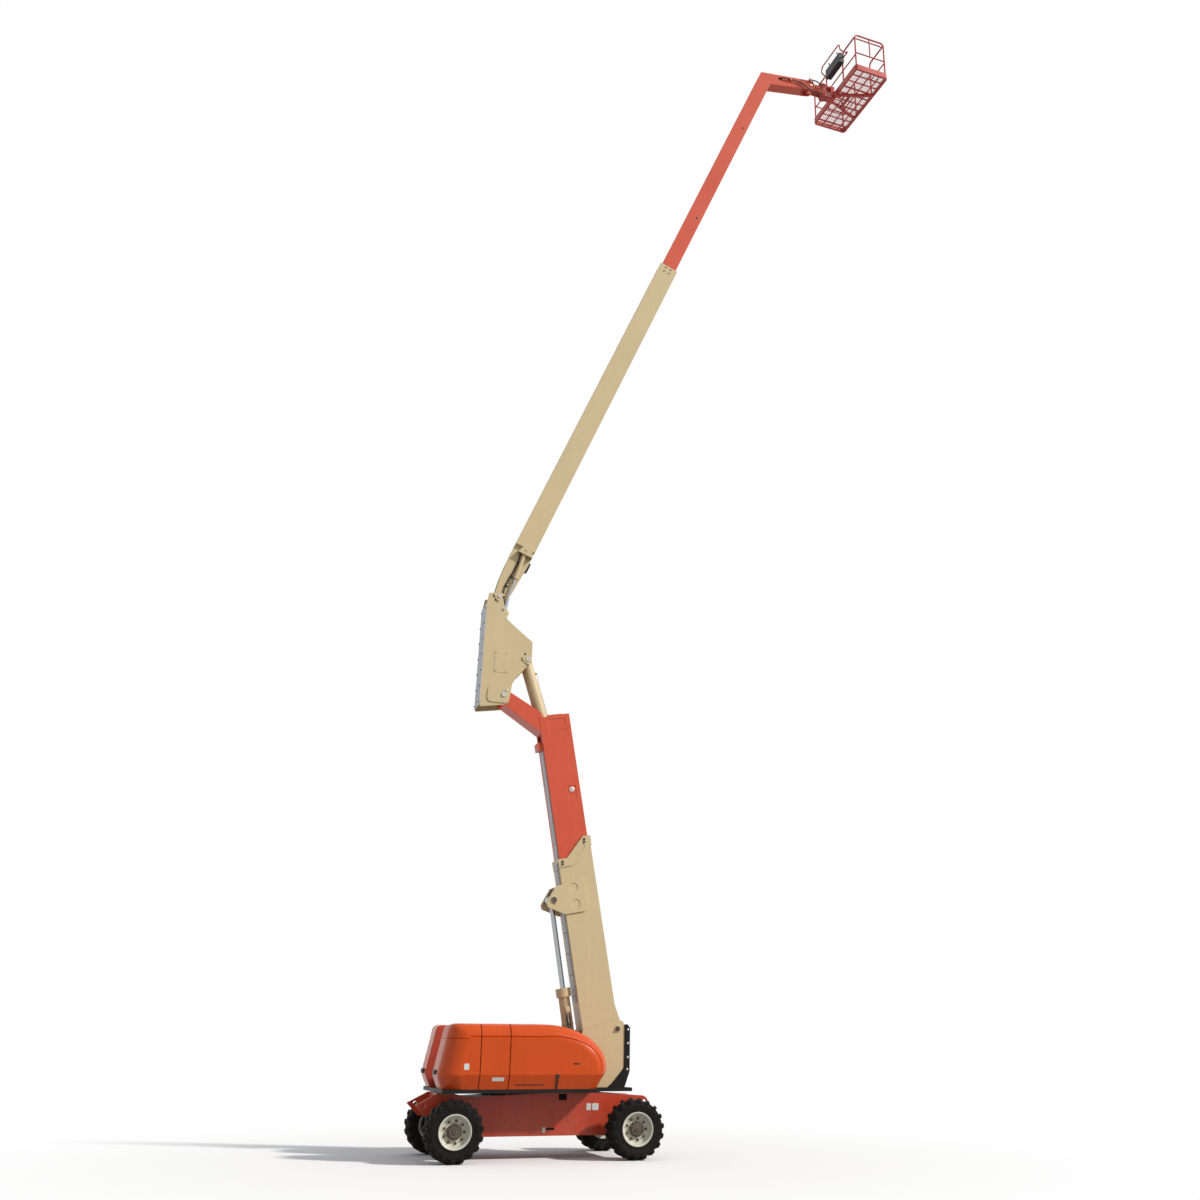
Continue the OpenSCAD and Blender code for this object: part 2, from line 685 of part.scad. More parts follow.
// Fly tube of the tower with the offset arm that carries the upright
module tower_fly() {
    pin = [fly_top + 467, 1215];
    arm = concat([[fly_top - 560, fly_rear - 60], [fly_top - 324, fly_rear - 4], [fly_top + 280, 1222]],
                 arc(pin, 125, 145, -40, 10), [[fly_top + 8, 465], [fly_top + 8, 150], [fly_top - 560, 150]]);
    floor = [[fly_top - 324, fly_rear - 4], [fly_top + 280, 1222], [fly_top + 293, 1208],
             [fly_top - 310, fly_rear - 18]];
    // Where the upright's levelling pin comes to rest when the tower is folded
    folded_pin = [fly_top + 28, 478];
    // Doubler plates round the tube's top, each with a pressed triangle
    doubler = [[fly_top - 626, fly_rear], [fly_top - 599, 505], [fly_top - 297, 208],
               [fly_top - 274, fly_front], [fly_top, fly_front], [fly_top, fly_rear]];
    triangle = [[fly_top - 74, 435], [fly_top - 394, 437], [fly_top - 185, 103], [fly_top - 85, 93]];
    doubler_t = 5;
    // Pressed pocket with the cover of the levelling cylinder's grease hole
    pocket = rounded([[fly_top - 1620, 92], [fly_top - 1367, 80],
                      [fly_top - 1367, 243], [fly_top - 1610, 250]], [22, 22, 22, 22]);
    level_cover = [fly_top - 1444, 164];
    color(red) in_tower() difference() {
        union() {
            difference() {
                box_tube(fly_tail, fly_top, fly_front, fly_rear, fly_half, fly_wall);
                translate([fly_top - 500, -140, fly_rear - 100]) cube([600, 280, 200]);
            }
            plate_pair(arm, fly_half - arm_plate, fly_half);
            side_plate(floor, -fly_half + 1, fly_half - 1);
            cross_bar(pin, 110, -fly_half, fly_half);
            both_sides() difference() {
                side_plate(doubler, fly_half - 1, fly_half + doubler_t);
                side_plate(triangle, fly_half, fly_half + doubler_t + 1);
            }
            plate_pair(inset(pocket, -15), fly_half - 16, fly_half - 7);
            translate([clamp_x, -conduit_w / 2 - 60, fly_rear]) cube([145, conduit_w + 40, 100]);
        }
        both_sides() difference() {
            side_plate(pocket, fly_half - 6, fly_half + 1);
            cross_bar(level_cover, tower_pin_r + 20, fly_half - 7, fly_half - 2);
        }
        cross_bar(pin, tower_pin_r + pin_gap, -400, 400);
        cross_bar(folded_pin, tower_pin_r + 12, -400, 400);
    }
}

// Wall between a barrel's eye and its bore
barrel_end = 20;

// A cylinder's barrel: bored eye at its base pin, tube and head, along local X
module barrel(r, length, head_r, head_len, eye_r, eye_half, pin_r, rod_r) {
    difference() {
        union() {
            rotate([90, 0, 0]) cylinder(r = eye_r, h = 2 * eye_half, center = true);
            rotate([0, 90, 0]) cylinder(r = r, h = length);
            translate([length - head_len, 0, 0]) rotate([0, 90, 0]) cylinder(r = head_r, h = head_len);
        }
        rotate([90, 0, 0]) cylinder(r = pin_r + pin_gap, h = 4 * eye_half + 2 * r, center = true);
        translate([pin_r + barrel_end, 0, 0]) rotate([0, 90, 0]) cylinder(r = rod_r + pin_gap, h = length);
        for (side = [-1, 1]) translate([0, side * (eye_half + r + 50), 0])
            cube([2 * eye_r + 20, 2 * r + 100, 2 * r + 2 * eye_r], center = true);
    }
}

// A cylinder's rod from inside its barrel to the eye, with the eye's pin
module rod(r, start, length, eye_r, eye_half, pin_r, pin_half) {
    translate([start, 0, 0]) rotate([0, 90, 0]) cylinder(r = r, h = length - start);
    translate([length, 0, 0]) rotate([90, 0, 0]) {
        cylinder(r = eye_r, h = 2 * eye_half, center = true);
        cylinder(r = pin_r, h = 2 * pin_half, center = true);
    }
}

tower_lift_rod_r = 45;

module tower_lift_barrel() {
    color(cream) from_pin(tower_lift_pin, tower_eye)
        barrel(100, 1470, 132, 150, 92, 100, tower_pin_r, tower_lift_rod_r);
}

module tower_lift_rod() {
    color(chrome) from_pin(tower_lift_pin, tower_eye)
        rod(tower_lift_rod_r, 1412, norm(tower_eye - tower_lift_pin), 90, 100, tower_pin_r, tower_half - 56);
}

level_rod_r = 55;

module level_barrel() {
    color(cream) from_pin(level_pin, level_eye)
        barrel(118, 1270, 118, 60, 95, 120, tower_pin_r, level_rod_r);
}

module level_rod() {
    color(chrome) from_pin(level_pin, level_eye)
        rod(level_rod_r, 1175, norm(level_eye - level_pin), 60, 90, 40, fly_half - fly_wall - 12);
}

// The sloped rear edge of the upright's plates, dz above its pin
function upright_rear(dz) = upright_pin.x - 448 + (dz + 238) * 35 / 2025;

// Two side plates joined by a rear web and a foot of bosses, with the pins of five joints
module upright() {
    z0 = upright_pin.y;
    x0 = upright_pin.x;
    outline = concat(
        [[upright_rear(-238), z0 - 238], [x0 - 430, z0 - 258], [x0 + 17, z0 - 190], [x0 + 97, z0 - 140],
         [x0 + 128, z0 + 45], [x0 + 145, z0 + 216], [x0 + 220, z0 + 350], [x0 + 317, z0 + 468],
         [x0 + 461, z0 + 637], [x0 + 509, z0 + 709], [x0 + 509, z0 + 1089], [x0 + 60, z0 + 1440],
         [x0 - 5, z0 + 1502], [x0 - 40, z0 + 1620], [x0 - 120, z0 + 1950]],
        arc([boom_pin.x + 30, boom_pin.y - 20], 90, 20, 120, 5),
        [[x0 - 373, z0 + 1994], [upright_rear(1787), z0 + 1787]]);
    web = [[x0 - 440, z0 - 100], [x0 - 424, z0 - 100], [x0 - 396, z0 + 1770], [x0 - 412, z0 + 1770]];
    boss = rounded([[x0 - 328, z0 - 160], [x0 + 92, z0 - 160], [x0 + 112, z0 + 160], [x0 - 300, z0 + 155]],
                   [95, 80, 70, 80]);
    panel = rounded([[x0 - 213, z0 + 428], [x0 + 55, z0 + 428], [x0 + 55, z0 + 845], [x0 - 213, z0 + 845]],
                    [25, 25, 25, 25]);
    color(cream) {
        plate_pair(outline, upright_half, upright_out);
        side_plate(web, -upright_half - 1, upright_half + 1);
        plate_pair(boss, upright_out - 1, upright_out + 16);
        plate_pair(panel, upright_out - 1, upright_out + 4);
        cross_bar(upright_pin, tower_pin_r, -upright_out - 26, upright_out + 26);
        cross_bar(boom_pin, boom_pin_r, -upright_out - 14, upright_out + 14);
        cross_bar(level_pin, tower_pin_r, -upright_out - 14, upright_out + 14);
        cross_bar(lift_pin, boom_pin_r, -upright_half - 1, upright_half + 1);
        cross_bar(master_pin, 24, -upright_out - 14, -upright_half);
    }
}

// Bolted cover along the upright's rear edge
module upright_cover() {
    low = -225;
    high = 1770;
    skin = 13;
    outline = [for (p = [[skin, low], [seat_gap, low], [seat_gap, high], [skin, high]])
        [upright_rear(p.y) - p.x, upright_pin.y + p.y]];
    color(grey) side_plate(outline, -upright_out - 4, upright_out + 4);
}

main_rod_r = 42;

module main_lift_barrel() {
    color(cream) from_pin(lift_pin, boom_rod_eye)
        barrel(80, 1310, 88, 70, 85, 90, boom_pin_r, main_rod_r);
}

module main_lift_rod() {
    color(chrome) from_pin(lift_pin, boom_rod_eye)
        rod(main_rod_r, 520, norm(boom_rod_eye - lift_pin), 70, 60, 36, foot_in - 4);
}

master_rod_r = 20;

module master_barrel() {
    color(cream) translate([0, master_y, 0]) from_pin(master_top, master_pin)
        barrel(38, 640, 39, 60, 42, 34, 22, master_rod_r);
}

module master_rod() {
    color(chrome) translate([0, master_y, 0]) from_pin(master_top, master_pin)
        rod(master_rod_r, 370, norm(master_pin - master_top), 40, 26, 22, upright_half + master_y - 3);
}

// Outline of the hood over the levelling cylinder's upper pin, open toward the boom's foot at x
function clasp(x) = let (end = master_at.x + 90)
    [[x, -150 - (end - x) * 0.44], [end, -150], [end, 5], [x, 5 + (end - x) * 0.35]];

// Base tube of the main boom on its pivot foot, with the hood of the levelling cylinder
module main_base() {
    top = boom_mid + boom_depth / 2;
    low = boom_mid - boom_depth / 2;
    foot_side = concat([[boom_tube_x + 300, low + 10], [boom_tube_x + 300, top - 10],
                        [boom_tube_x - 150, top - 2], [700, top - 8], [400, top - 28], [120, 112]],
                       arc([0, 0], 105, 100, 250, 8),
                       [[60, -150], [200, -195], [boom_tube_x - 300, low + 2]]);
    clasp_out = master_y - 62;
    pad_l = 180;
    pad_x = boom_len - pad_l - 20;
    pad_t = (boom_depth - boom_fly_depth) / 2 - 1;
    color(cream) in_boom() difference() {
        union() {
            box_tube(boom_tube_x, boom_len, low, top, boom_half, boom_wall);
            // Wear pads that guide the fly tube at the mouth
            both_sides() translate([pad_x, boom_fly_half + seat_gap, boom_mid - 100])
                cube([pad_l, boom_half - boom_fly_half - 1, 200]);
            for (z = [boom_mid - boom_fly_depth / 2 - seat_gap - pad_t, boom_mid + boom_fly_depth / 2 + seat_gap])
                translate([pad_x, -80, z]) cube([pad_l, 160, pad_t]);
            plate_pair(foot_side, foot_in, foot_out);
            translate([boom_tube_x, -boom_half, low]) cube([14, boom_w, boom_depth]);
            cross_bar([0, 0], 70, -upright_half + 6, upright_half - 6);
            difference() {
                side_plate(clasp(master_at.x - 105), clasp_out, 1 - foot_out);
                side_plate(inset(clasp(master_at.x - 180), 10), clasp_out + 12, 2 - foot_out);
            }
            cross_bar(master_at, 22, clasp_out - 10, -foot_out + 1);
            both_sides() cross_bar(rod_eye_at, 50, foot_out - 1, foot_out + 12);
        }
        cross_bar([0, 0], boom_pin_r + pin_gap, -400, 400);
        translate([boom_tube_x - 1, -foot_in, low + 40]) cube([400, 2 * foot_in, boom_depth - 80]);
    }
}

// Side profile of the main boom's fly tube and its gooseneck, from the tail at local x
function fly_profile(x) = concat(
    [boom_point([x, boom_mid - boom_fly_depth / 2]), neck_low, tip_pin + [-17, -132]],
    arc(tip_pin, 120, -70, 30, 8),
    [tip_pin + [75, 150], neck_top, boom_point([x, boom_mid + boom_fly_depth / 2])]);

module main_fly() {
    tail = boom_len - boom_fly_tail;
    inner = boom_fly_half - boom_wall;
    mouth = 240;
    neck_slot = neck_top + [500, -56];
    clip = 44;
    color(red) difference() {
        side_plate(fly_profile(tail), -boom_fly_half, boom_fly_half);
        side_plate(inset(fly_profile(tail - 2 * boom_wall), boom_wall), -inner, inner);
        cross_bar(tip_pin, tip_pin_r + pin_gap, -boom_fly_w, boom_fly_w);
        translate([tip_pin.x - mouth, -inner, tip_pin.y - mouth]) cube([2 * mouth, 2 * inner, 2 * mouth]);
        side_plate(slot_outline(neck_slot - [32, 0], neck_slot + [32, 0], 24), -boom_fly_w, -inner + 1);
    }
    // The two clips that the hose hangs from
    color(red) for (p = [nose_route[0], nose_route[len(nose_route) - 1]])
        translate([tip_pin.x + p.x - clip - seat_gap, nose_y - clip / 2, tip_pin.y + p.y - clip / 2])
            cube([clip, -nose_y + clip / 2 - boom_fly_half + 1, clip]);
}

// A hose of diameter d along points in the plane y
module hose(points, y, d) {
    sides = 10;
    last = len(points) - 1;
    function heading(i) = unit(points[min(i + 1, last)] - points[max(i - 1, 0)]);
    rings = [for (i = [0 : last]) let (p = points[i], out = left_of(heading(i)) * d / 2)
        [for (k = [0 : sides - 1]) let (a = 360 * k / sides)
            [p.x + out.x * cos(a), y + d / 2 * sin(a), p.y + out.y * cos(a)]]];
    wall = [for (i = [0 : last - 1], k = [0 : sides - 1]) let (a = i * sides, n = (k + 1) % sides)
        [a + k, a + n, a + sides + n, a + sides + k]];
    ends = [[for (k = [sides - 1 : -1 : 0]) k], [for (k = [0 : sides - 1]) last * sides + k]];
    polyhedron([for (r = rings, p = r) p], concat(wall, ends));
}

module nose_hose() {
    color(black) hose([for (p = nose_route) tip_pin + p], nose_y, hose_d);
}

knuckle_half = 100;
drive_r = 92;

// Levelled knuckle with the housing of the platform's rotary drive
module rotator() {
    z0 = tip_pin.y;
    outline = concat(arc(tip_pin, 80, 90, 270, 10), [[swivel_x, z0 - 110], [swivel_x, z0 + 100]]);
    color(red) {
        plate_pair(outline, knuckle_half - 22, knuckle_half);
        cross_bar(tip_pin, tip_pin_r, -boom_fly_half - 12, boom_fly_half + 12);
        translate([swivel_x, 0, z0 - drive_h / 2]) cylinder(r = drive_r, h = drive_h);
    }
}

// Puts what is drawn on the swivel axis in its place
module on_swivel() {
    translate([swivel_x, 0, floor_z]) rotate([0, 0, deck_turn]) children();
}

// Bracket round the rotary drive and the arms under the platform
module platform_support() {
    beam = 60;
    disc_t = 45;
    color(red) on_swivel() {
        for (z = [floor_drop - drive_h / 2 - seat_gap - disc_t, floor_drop + drive_h / 2 + seat_gap])
            translate([0, 0, z]) {
                cylinder(r = drive_r + 13, h = disc_t);
                translate([80, -70, 0]) cube([200, 140, disc_t]);
            }
        translate([200, -90, floor_drop - drive_h / 2 - disc_t]) cube([100, 180, drive_h + 2 * disc_t]);
        both_sides() translate([220, 40, -beam]) rotate([0, 0, 21]) cube([deck_far - 210, beam, beam]);
        translate([deck_near + 300, -230, -beam]) cube([50, 460, beam]);
    }
}

bar = 30;
floor_t = 24;

// Open floor: rim, cross bars and lengthwise slats, with the toe boards round it
module platform_floor() {
    rows = 10;
    columns = 4;
    slats = 16;
    toe_t = 5;
    rim = 45;
    cut = 50;
    tray = [[deck_near, cut - deck_half], [deck_near + cut, -deck_half], [deck_far - cut, -deck_half],
            [deck_far, cut - deck_half], [deck_far, deck_half - cut], [deck_far - cut, deck_half],
            [deck_near + cut, deck_half], [deck_near, deck_half - cut]];
    color(red) on_swivel() {
        difference() {
            linear_extrude(toe_h) polygon(tray);
            translate([0, 0, floor_t]) linear_extrude(toe_h) polygon(inset(tray, toe_t));
            translate([0, 0, -1]) linear_extrude(toe_h) polygon(inset(tray, rim));
        }
        for (i = [1 : rows - 1])
            translate([deck_near + rim - 1, -deck_half + i * deck_len / rows - bar / 2, 0])
                cube([deck_dep - 2 * rim + 2, bar, floor_t]);
        for (i = [1 : slats - 1]) {
            on_bar = i % (slats / columns) == 0;
            w = on_bar ? bar : 6;
            h = on_bar ? floor_t : 10;
            translate([deck_near + i * deck_dep / slats - w / 2, 1 - deck_half + rim, floor_t - h])
                cube([w, deck_len - 2 * rim + 2 - 4, h]);
        }
    }
}

rail_in = rail_d / 2 + 26;
rail_bend = 90;

// One end of the guard rails: double top rail, posts and mid rail
module end_rail(y, second) {
    x0 = deck_near + rail_in;
    x1 = deck_far - rail_in;
    mid = (x0 + x1) / 2;
    pipe([[x0, y, floor_t], [x0, y, rail_h], [x1, y, rail_h], [x1, y, floor_t]], rail_d, rail_bend);
    pipe([[mid, y, rail_h], [mid, y, rail_h * 0.5]], rail_d * 0.8, rail_bend);
    pipe([[x0, y, rail_h * 0.5], [x1, y, rail_h * 0.5]], rail_d * 0.8, rail_bend);
    if (second) pipe([[x0, y, rail_h - 110], [x1, y, rail_h - 110]], rail_d * 0.8, rail_bend);
}

module rail_near() { color(red) on_swivel() end_rail(-deck_half + rail_in, true); }
module rail_far() { color(red) on_swivel() end_rail(deck_half - rail_in, true); }

rail_end = deck_half - rail_in - rail_d / 2 - seat_gap;
mid_rail_z = rail_h * 0.5 - 45;
thin_d = rail_d * 0.8;
cross_d = rail_d * 0.9;
console_post = deck_half - 660;
console_y = -deck_len / 12;
console_z = rail_h - 220;

// A long side's top rails: each runs from its end to a post beside the opening
module long_rail(x, post) {
    for (hand = [-1, 1])
        pipe([[x, hand * rail_end, rail_h - 55], [x, hand * post, rail_h - 55], [x, hand * post, floor_t]],
             rail_d, rail_bend);
}

module rail_inner() {
    x = deck_near + rail_in;
    guard = x - 210;
    root = rail_d / 5;
    cross_x = x - (rail_d - cross_d) / 2;
    low = console_y - console_post - 45;
    high = console_y + console_post + 45;
    color(red) on_swivel() {
        long_rail(x, console_post);
        pipe([[x, -rail_end, mid_rail_z], [x, rail_end, mid_rail_z]], thin_d, rail_bend);
        pipe([[cross_x, low - thin_d, console_z], [cross_x, console_post - root, console_z]],
             cross_d, rail_bend);
        pipe([[cross_x - root, low, console_z], [guard, low, console_z], [guard, low, rail_h - 10],
              [guard, high, rail_h - 10], [guard, high, console_z], [cross_x - root, high, console_z]],
             thin_d, rail_bend);
    }
}

module rail_outer() {
    x = deck_far - rail_in;
    post = deck_half - 690;
    color(red) on_swivel() {
        long_rail(x, post);
        for (hand = [-1, 1])
            pipe([[x, hand * rail_end, mid_rail_z], [x, hand * post, mid_rail_z]], thin_d, rail_bend);
    }
}

// Control console hung on the boom side of the rails
module control_console() {
    half = console_post - 75;
    depth = 150;
    back = deck_near + rail_in - rail_d / 2 - seat_gap;
    color(black) on_swivel() translate([back - depth, console_y - half, console_z - 210])
        difference() {
            cube([depth, 2 * half, 300]);
            translate([-1, -1, 250]) rotate([0, -20, 0]) cube([300, 2 * half + 2, 200]);
        }
}

chassis_frame();
rear_axle();
front_axle();
swing_bearing();
knuckle_right();
knuckle_left();
tyre_front_right();
tyre_front_left();
tyre_rear_right();
tyre_rear_left();
wheel_front_right();
wheel_front_left();
wheel_rear_right();
wheel_rear_left();
hub_front_right();
hub_front_left();
hub_rear_right();
hub_rear_left();
turntable_deck();
tower_support();
front_cover();
slot_walls();
counterweight();
engine_block();
oil_tank();
hood_right();
hood_left();
hood_door_right();
hood_door_left();
tower_base();
tower_bracket();
tower_collar();
tower_conduit();
tower_fly();
fly_conduit();
tower_lift_barrel();
tower_lift_rod();
level_barrel();
level_rod();
upright();
upright_cover();
main_lift_barrel();
main_lift_rod();
master_barrel();
master_rod();
main_base();
main_fly();
nose_hose();
rotator();
platform_support();
platform_floor();
rail_near();
rail_far();
rail_inner();
rail_outer();
control_console();
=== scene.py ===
import math

import bmesh
import bpy
from mathutils import Matrix, Vector


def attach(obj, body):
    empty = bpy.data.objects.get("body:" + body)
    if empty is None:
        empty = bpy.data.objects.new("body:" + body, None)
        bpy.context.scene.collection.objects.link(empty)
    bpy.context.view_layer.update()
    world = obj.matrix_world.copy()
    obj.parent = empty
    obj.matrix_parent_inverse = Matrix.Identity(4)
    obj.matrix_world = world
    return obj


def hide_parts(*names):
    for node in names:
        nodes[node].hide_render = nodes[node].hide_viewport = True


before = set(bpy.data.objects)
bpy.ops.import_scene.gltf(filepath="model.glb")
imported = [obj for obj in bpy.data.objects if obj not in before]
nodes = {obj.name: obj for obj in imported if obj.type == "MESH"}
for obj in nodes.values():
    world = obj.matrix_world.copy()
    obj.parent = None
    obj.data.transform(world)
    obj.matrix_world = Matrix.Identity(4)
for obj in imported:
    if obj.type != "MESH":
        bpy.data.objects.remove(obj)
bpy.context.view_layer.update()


# The viewer stands at head height some twenty metres off, to the right of the machine and behind
# its rear wheels, and looks up along the booms. The picture's middle lies left of where the lens
# points.
eye = Vector((-5.3662, -22.6118, 1.8041))
yaw, pitch, roll = (math.radians(a) for a in (18.670, 19.638, 0.297))
ahead = Vector((math.sin(yaw) * math.cos(pitch), math.cos(yaw) * math.cos(pitch), math.sin(pitch)))
level = Vector((math.cos(yaw), -math.sin(yaw), 0.0))
overhead = level.cross(ahead)
across = math.cos(roll) * level + math.sin(roll) * overhead
upward = math.cos(roll) * overhead - math.sin(roll) * level
picture_px, focal_px, shift_px = 1200.0, 1246.97, -60.0
lens = bpy.data.cameras.new("lens")
lens.sensor_width = 36.0
lens.lens = lens.sensor_width * focal_px / picture_px
lens.shift_x = shift_px / picture_px
lens.clip_end = 600.0
viewer = bpy.data.objects.new("viewer", lens)
viewer.matrix_world = Matrix.Translation(eye) @ Matrix((across, upward, -ahead)).transposed().to_4x4()
scene = bpy.context.scene
scene.collection.objects.link(viewer)
scene.camera = viewer
scene.view_settings.view_transform = "Standard"


# A pale studio floor that runs out to white, one soft sun from the right and front, and an even
# sky. The lens and the chrome see both as plain white; what they throw back on the machine is
# less, as from bare ground.
def linear(r, g, b):
    """A colour given on a 0 to 255 scale, as the shaders want it."""
    shares = [c / 255 for c in (r, g, b)]
    return tuple(c / 12.92 if c < 0.0404 else ((c + 0.055) / 1.055) ** 2.4 for c in shares) + (1.0,)


def circle(count, radius, start=0.0):
    """Points spaced evenly round a circle; start shifts them by a share of their pitch."""
    turns = [math.tau * (i + start) / count for i in range(count)]
    return [(radius * math.cos(a), radius * math.sin(a)) for a in turns]


def feed(tree, node, inputs):
    """Feeds a node's inputs, each from a socket or with a plain value."""
    for key, value in inputs.items():
        if isinstance(value, bpy.types.NodeSocket):
            tree.links.new(value, node.inputs[key])
        else:
            node.inputs[key].default_value = value


def add(tree, kind, inputs=None, **settings):
    """One shader node, with its settings and what feeds its inputs."""
    node = tree.nodes.new("ShaderNode" + kind)
    for key, value in settings.items():
        setattr(node, key, value)
    feed(tree, node, inputs or {})
    return node


def reckon(tree, operation, a, b, **settings):
    """The sum, product or like of two values."""
    return add(tree, "Math", {0: a, 1: b}, operation=operation, **settings).outputs[0]


def remap(tree, value, low, high, to_low=0.0, to_high=1.0, **settings):
    """Stretches what lies between two limits onto two others, and stops there."""
    limits = {"From Min": low, "From Max": high, "To Min": to_low, "To Max": to_high}
    return add(tree, "MapRange", {"Value": value, **limits}, **settings).outputs["Result"]


def seen_directly(tree):
    """1 on rays from the lens, from gloss or through glass, 0 on the rays that light the machine."""
    ray = add(tree, "LightPath").outputs
    shown = reckon(tree, "MAXIMUM", ray["Is Camera Ray"], ray["Is Glossy Ray"])
    return reckon(tree, "MAXIMUM", shown, ray["Is Transmission Ray"])


floor_radius, floor_sides, floor_z = 90.0, 96, -0.0008
fade_from, fade_to = 3.0, 11.0
floor_mesh = bpy.data.meshes.new("studio_floor")
rim = [(x, y, floor_z) for x, y in circle(floor_sides, floor_radius)]
floor_mesh.from_pydata(rim, [], [list(range(floor_sides))])
studio_floor = bpy.data.objects.new("studio_floor", floor_mesh)
scene.collection.objects.link(studio_floor)
floor_paint = bpy.data.materials.new("floor_paint")
floor_paint.use_nodes = True
tree = floor_paint.node_tree
tree.nodes.clear()
pale = add(tree, "BsdfDiffuse", {"Color": (0.90, 0.90, 0.90, 1)})
ground = add(tree, "BsdfDiffuse", {"Color": (0.40, 0.39, 0.37, 1)})
white = add(tree, "Emission", {"Color": (1, 1, 1, 1)})
place = add(tree, "TexCoord").outputs["Object"]
reach = add(tree, "VectorMath", {0: place}, operation="LENGTH").outputs["Value"]
fade = remap(tree, reach, fade_from, fade_to, interpolation_type="SMOOTHSTEP")
shown = add(tree, "MixShader", {"Fac": fade, 1: pale.outputs[0], 2: white.outputs[0]})
either = add(tree, "MixShader", {"Fac": seen_directly(tree), 1: ground.outputs[0], 2: shown.outputs[0]})
add(tree, "OutputMaterial", {"Surface": either.outputs[0]})
floor_mesh.materials.append(floor_paint)

sky = bpy.data.worlds.new("sky")
scene.world = sky
sky.use_nodes = True
tree = sky.node_tree
tree.nodes.clear()
fill = add(tree, "Background", {"Color": (0.93, 0.96, 1.0, 1), "Strength": 0.50})
plain = add(tree, "Background", {"Color": (1, 1, 1, 1), "Strength": 1.0})
either = add(tree, "MixShader", {"Fac": seen_directly(tree), 1: fill.outputs[0], 2: plain.outputs[0]})
add(tree, "OutputWorld", {"Surface": either.outputs[0]})

lamp = bpy.data.lights.new("sun", "SUN")
lamp.energy = 3.1
lamp.angle = math.radians(4)
lamp.color = (1.0, 0.97, 0.92)
sun = bpy.data.objects.new("sun", lamp)
sun.rotation_mode = "QUATERNION"
sun.rotation_quaternion = Vector((0.66, -0.48, 0.58)).to_track_quat("Z", "Y")
scene.collection.objects.link(sun)


# A thick rubber hose hangs in a loop beside the gooseneck; it leaves a clip on the neck's side
# and comes back to a second clip over the tip pin. Fabric-braided rubber, 30 mm.
def shader(name):
    """A new material with its node tree and its Principled shader."""
    material = bpy.data.materials.new(name)
    material.use_nodes = True
    tree = material.node_tree
    tree.nodes.clear()
    surface = tree.nodes.new("ShaderNodeBsdfPrincipled")
    add(tree, "OutputMaterial", {"Surface": surface.outputs["BSDF"]})
    return material, tree, surface


def noise(tree, place, scale, detail, roughness=0.5):
    """A cloudy value from 0 to 1 that changes from place to place."""
    look = {"Scale": scale, "Detail": detail, "Roughness": roughness}
    return add(tree, "TexNoise", {"Vector": place, **look}).outputs["Fac"]


def blend(tree, share, one, other):
    """A colour between two others."""
    return add(tree, "Mix", {"Factor": share, "A": one, "B": other}, data_type="RGBA").outputs["Result"]


hose_rubber, tree, surface = shader("hose_rubber")
place = add(tree, "TexCoord").outputs["Object"]
braid = noise(tree, place, 420.0, 2.0)
scuff = noise(tree, place, 14.0, 5.0, 0.7)
relief = add(tree, "Bump", {"Height": braid, "Distance": 0.0008, "Strength": 0.6})
feed(tree, surface, {"Base Color": blend(tree, scuff, linear(9, 9, 10), linear(28, 27, 27)),
                     "Roughness": remap(tree, scuff, 0.3, 0.7, 0.42, 0.68),
                     "Normal": relief.outputs["Normal"]})

tip_pin = Vector((6.12132, 0.0, 24.37040))
hose_y, hose_d = -0.168, 0.030
hose_route = [(-540, -20), (-470, -20), (-395, -24), (-310, -36), (-228, -62), (-150, -104),
              (-75, -156), (0, -206), (80, -246), (165, -258), (243, -226), (287, -150), (293, -62),
              (275, 24), (229, 95), (157, 130), (75, 138), (0, 138)]
hose_line = bpy.data.curves.new("nose_hose_loop", "CURVE")
hose_line.dimensions = "3D"
hose_line.bevel_depth = hose_d / 2
hose_line.bevel_resolution = 4
hose_line.resolution_u = 6
hose_line.use_fill_caps = True
spline = hose_line.splines.new("BEZIER")
spline.bezier_points.add(len(hose_route) - 1)
for knot, (dx, dz) in zip(spline.bezier_points, hose_route):
    knot.co = tip_pin + Vector((dx / 1000, hose_y, dz / 1000))
    knot.handle_left_type = knot.handle_right_type = "AUTO"
hose_line.materials.append(hose_rubber)
nose_hose_loop = bpy.data.objects.new("nose_hose_loop", hose_line)
scene.collection.objects.link(nose_hose_loop)
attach(nose_hose_loop, "main_boom_fly")
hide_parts("nose_hose")
tuple(spline.bezier_points[0].co)


# The welded frame is thick steel plate, bent and seam welded, under a gloss orange-red coat that
# carries road dust along its lower edges.
def group(name, inputs, outputs):
    """A shader node group with named sockets; returns it with its inner input and output nodes."""
    made = bpy.data.node_groups.new(name, "ShaderNodeTree")
    for label, kind, value in inputs:
        socket = made.interface.new_socket(label, in_out="INPUT", socket_type="NodeSocket" + kind)
        socket.default_value = value
    for label, kind in outputs:
        made.interface.new_socket(label, in_out="OUTPUT", socket_type="NodeSocket" + kind)
    return made, made.nodes.new("NodeGroupInput"), made.nodes.new("NodeGroupOutput")


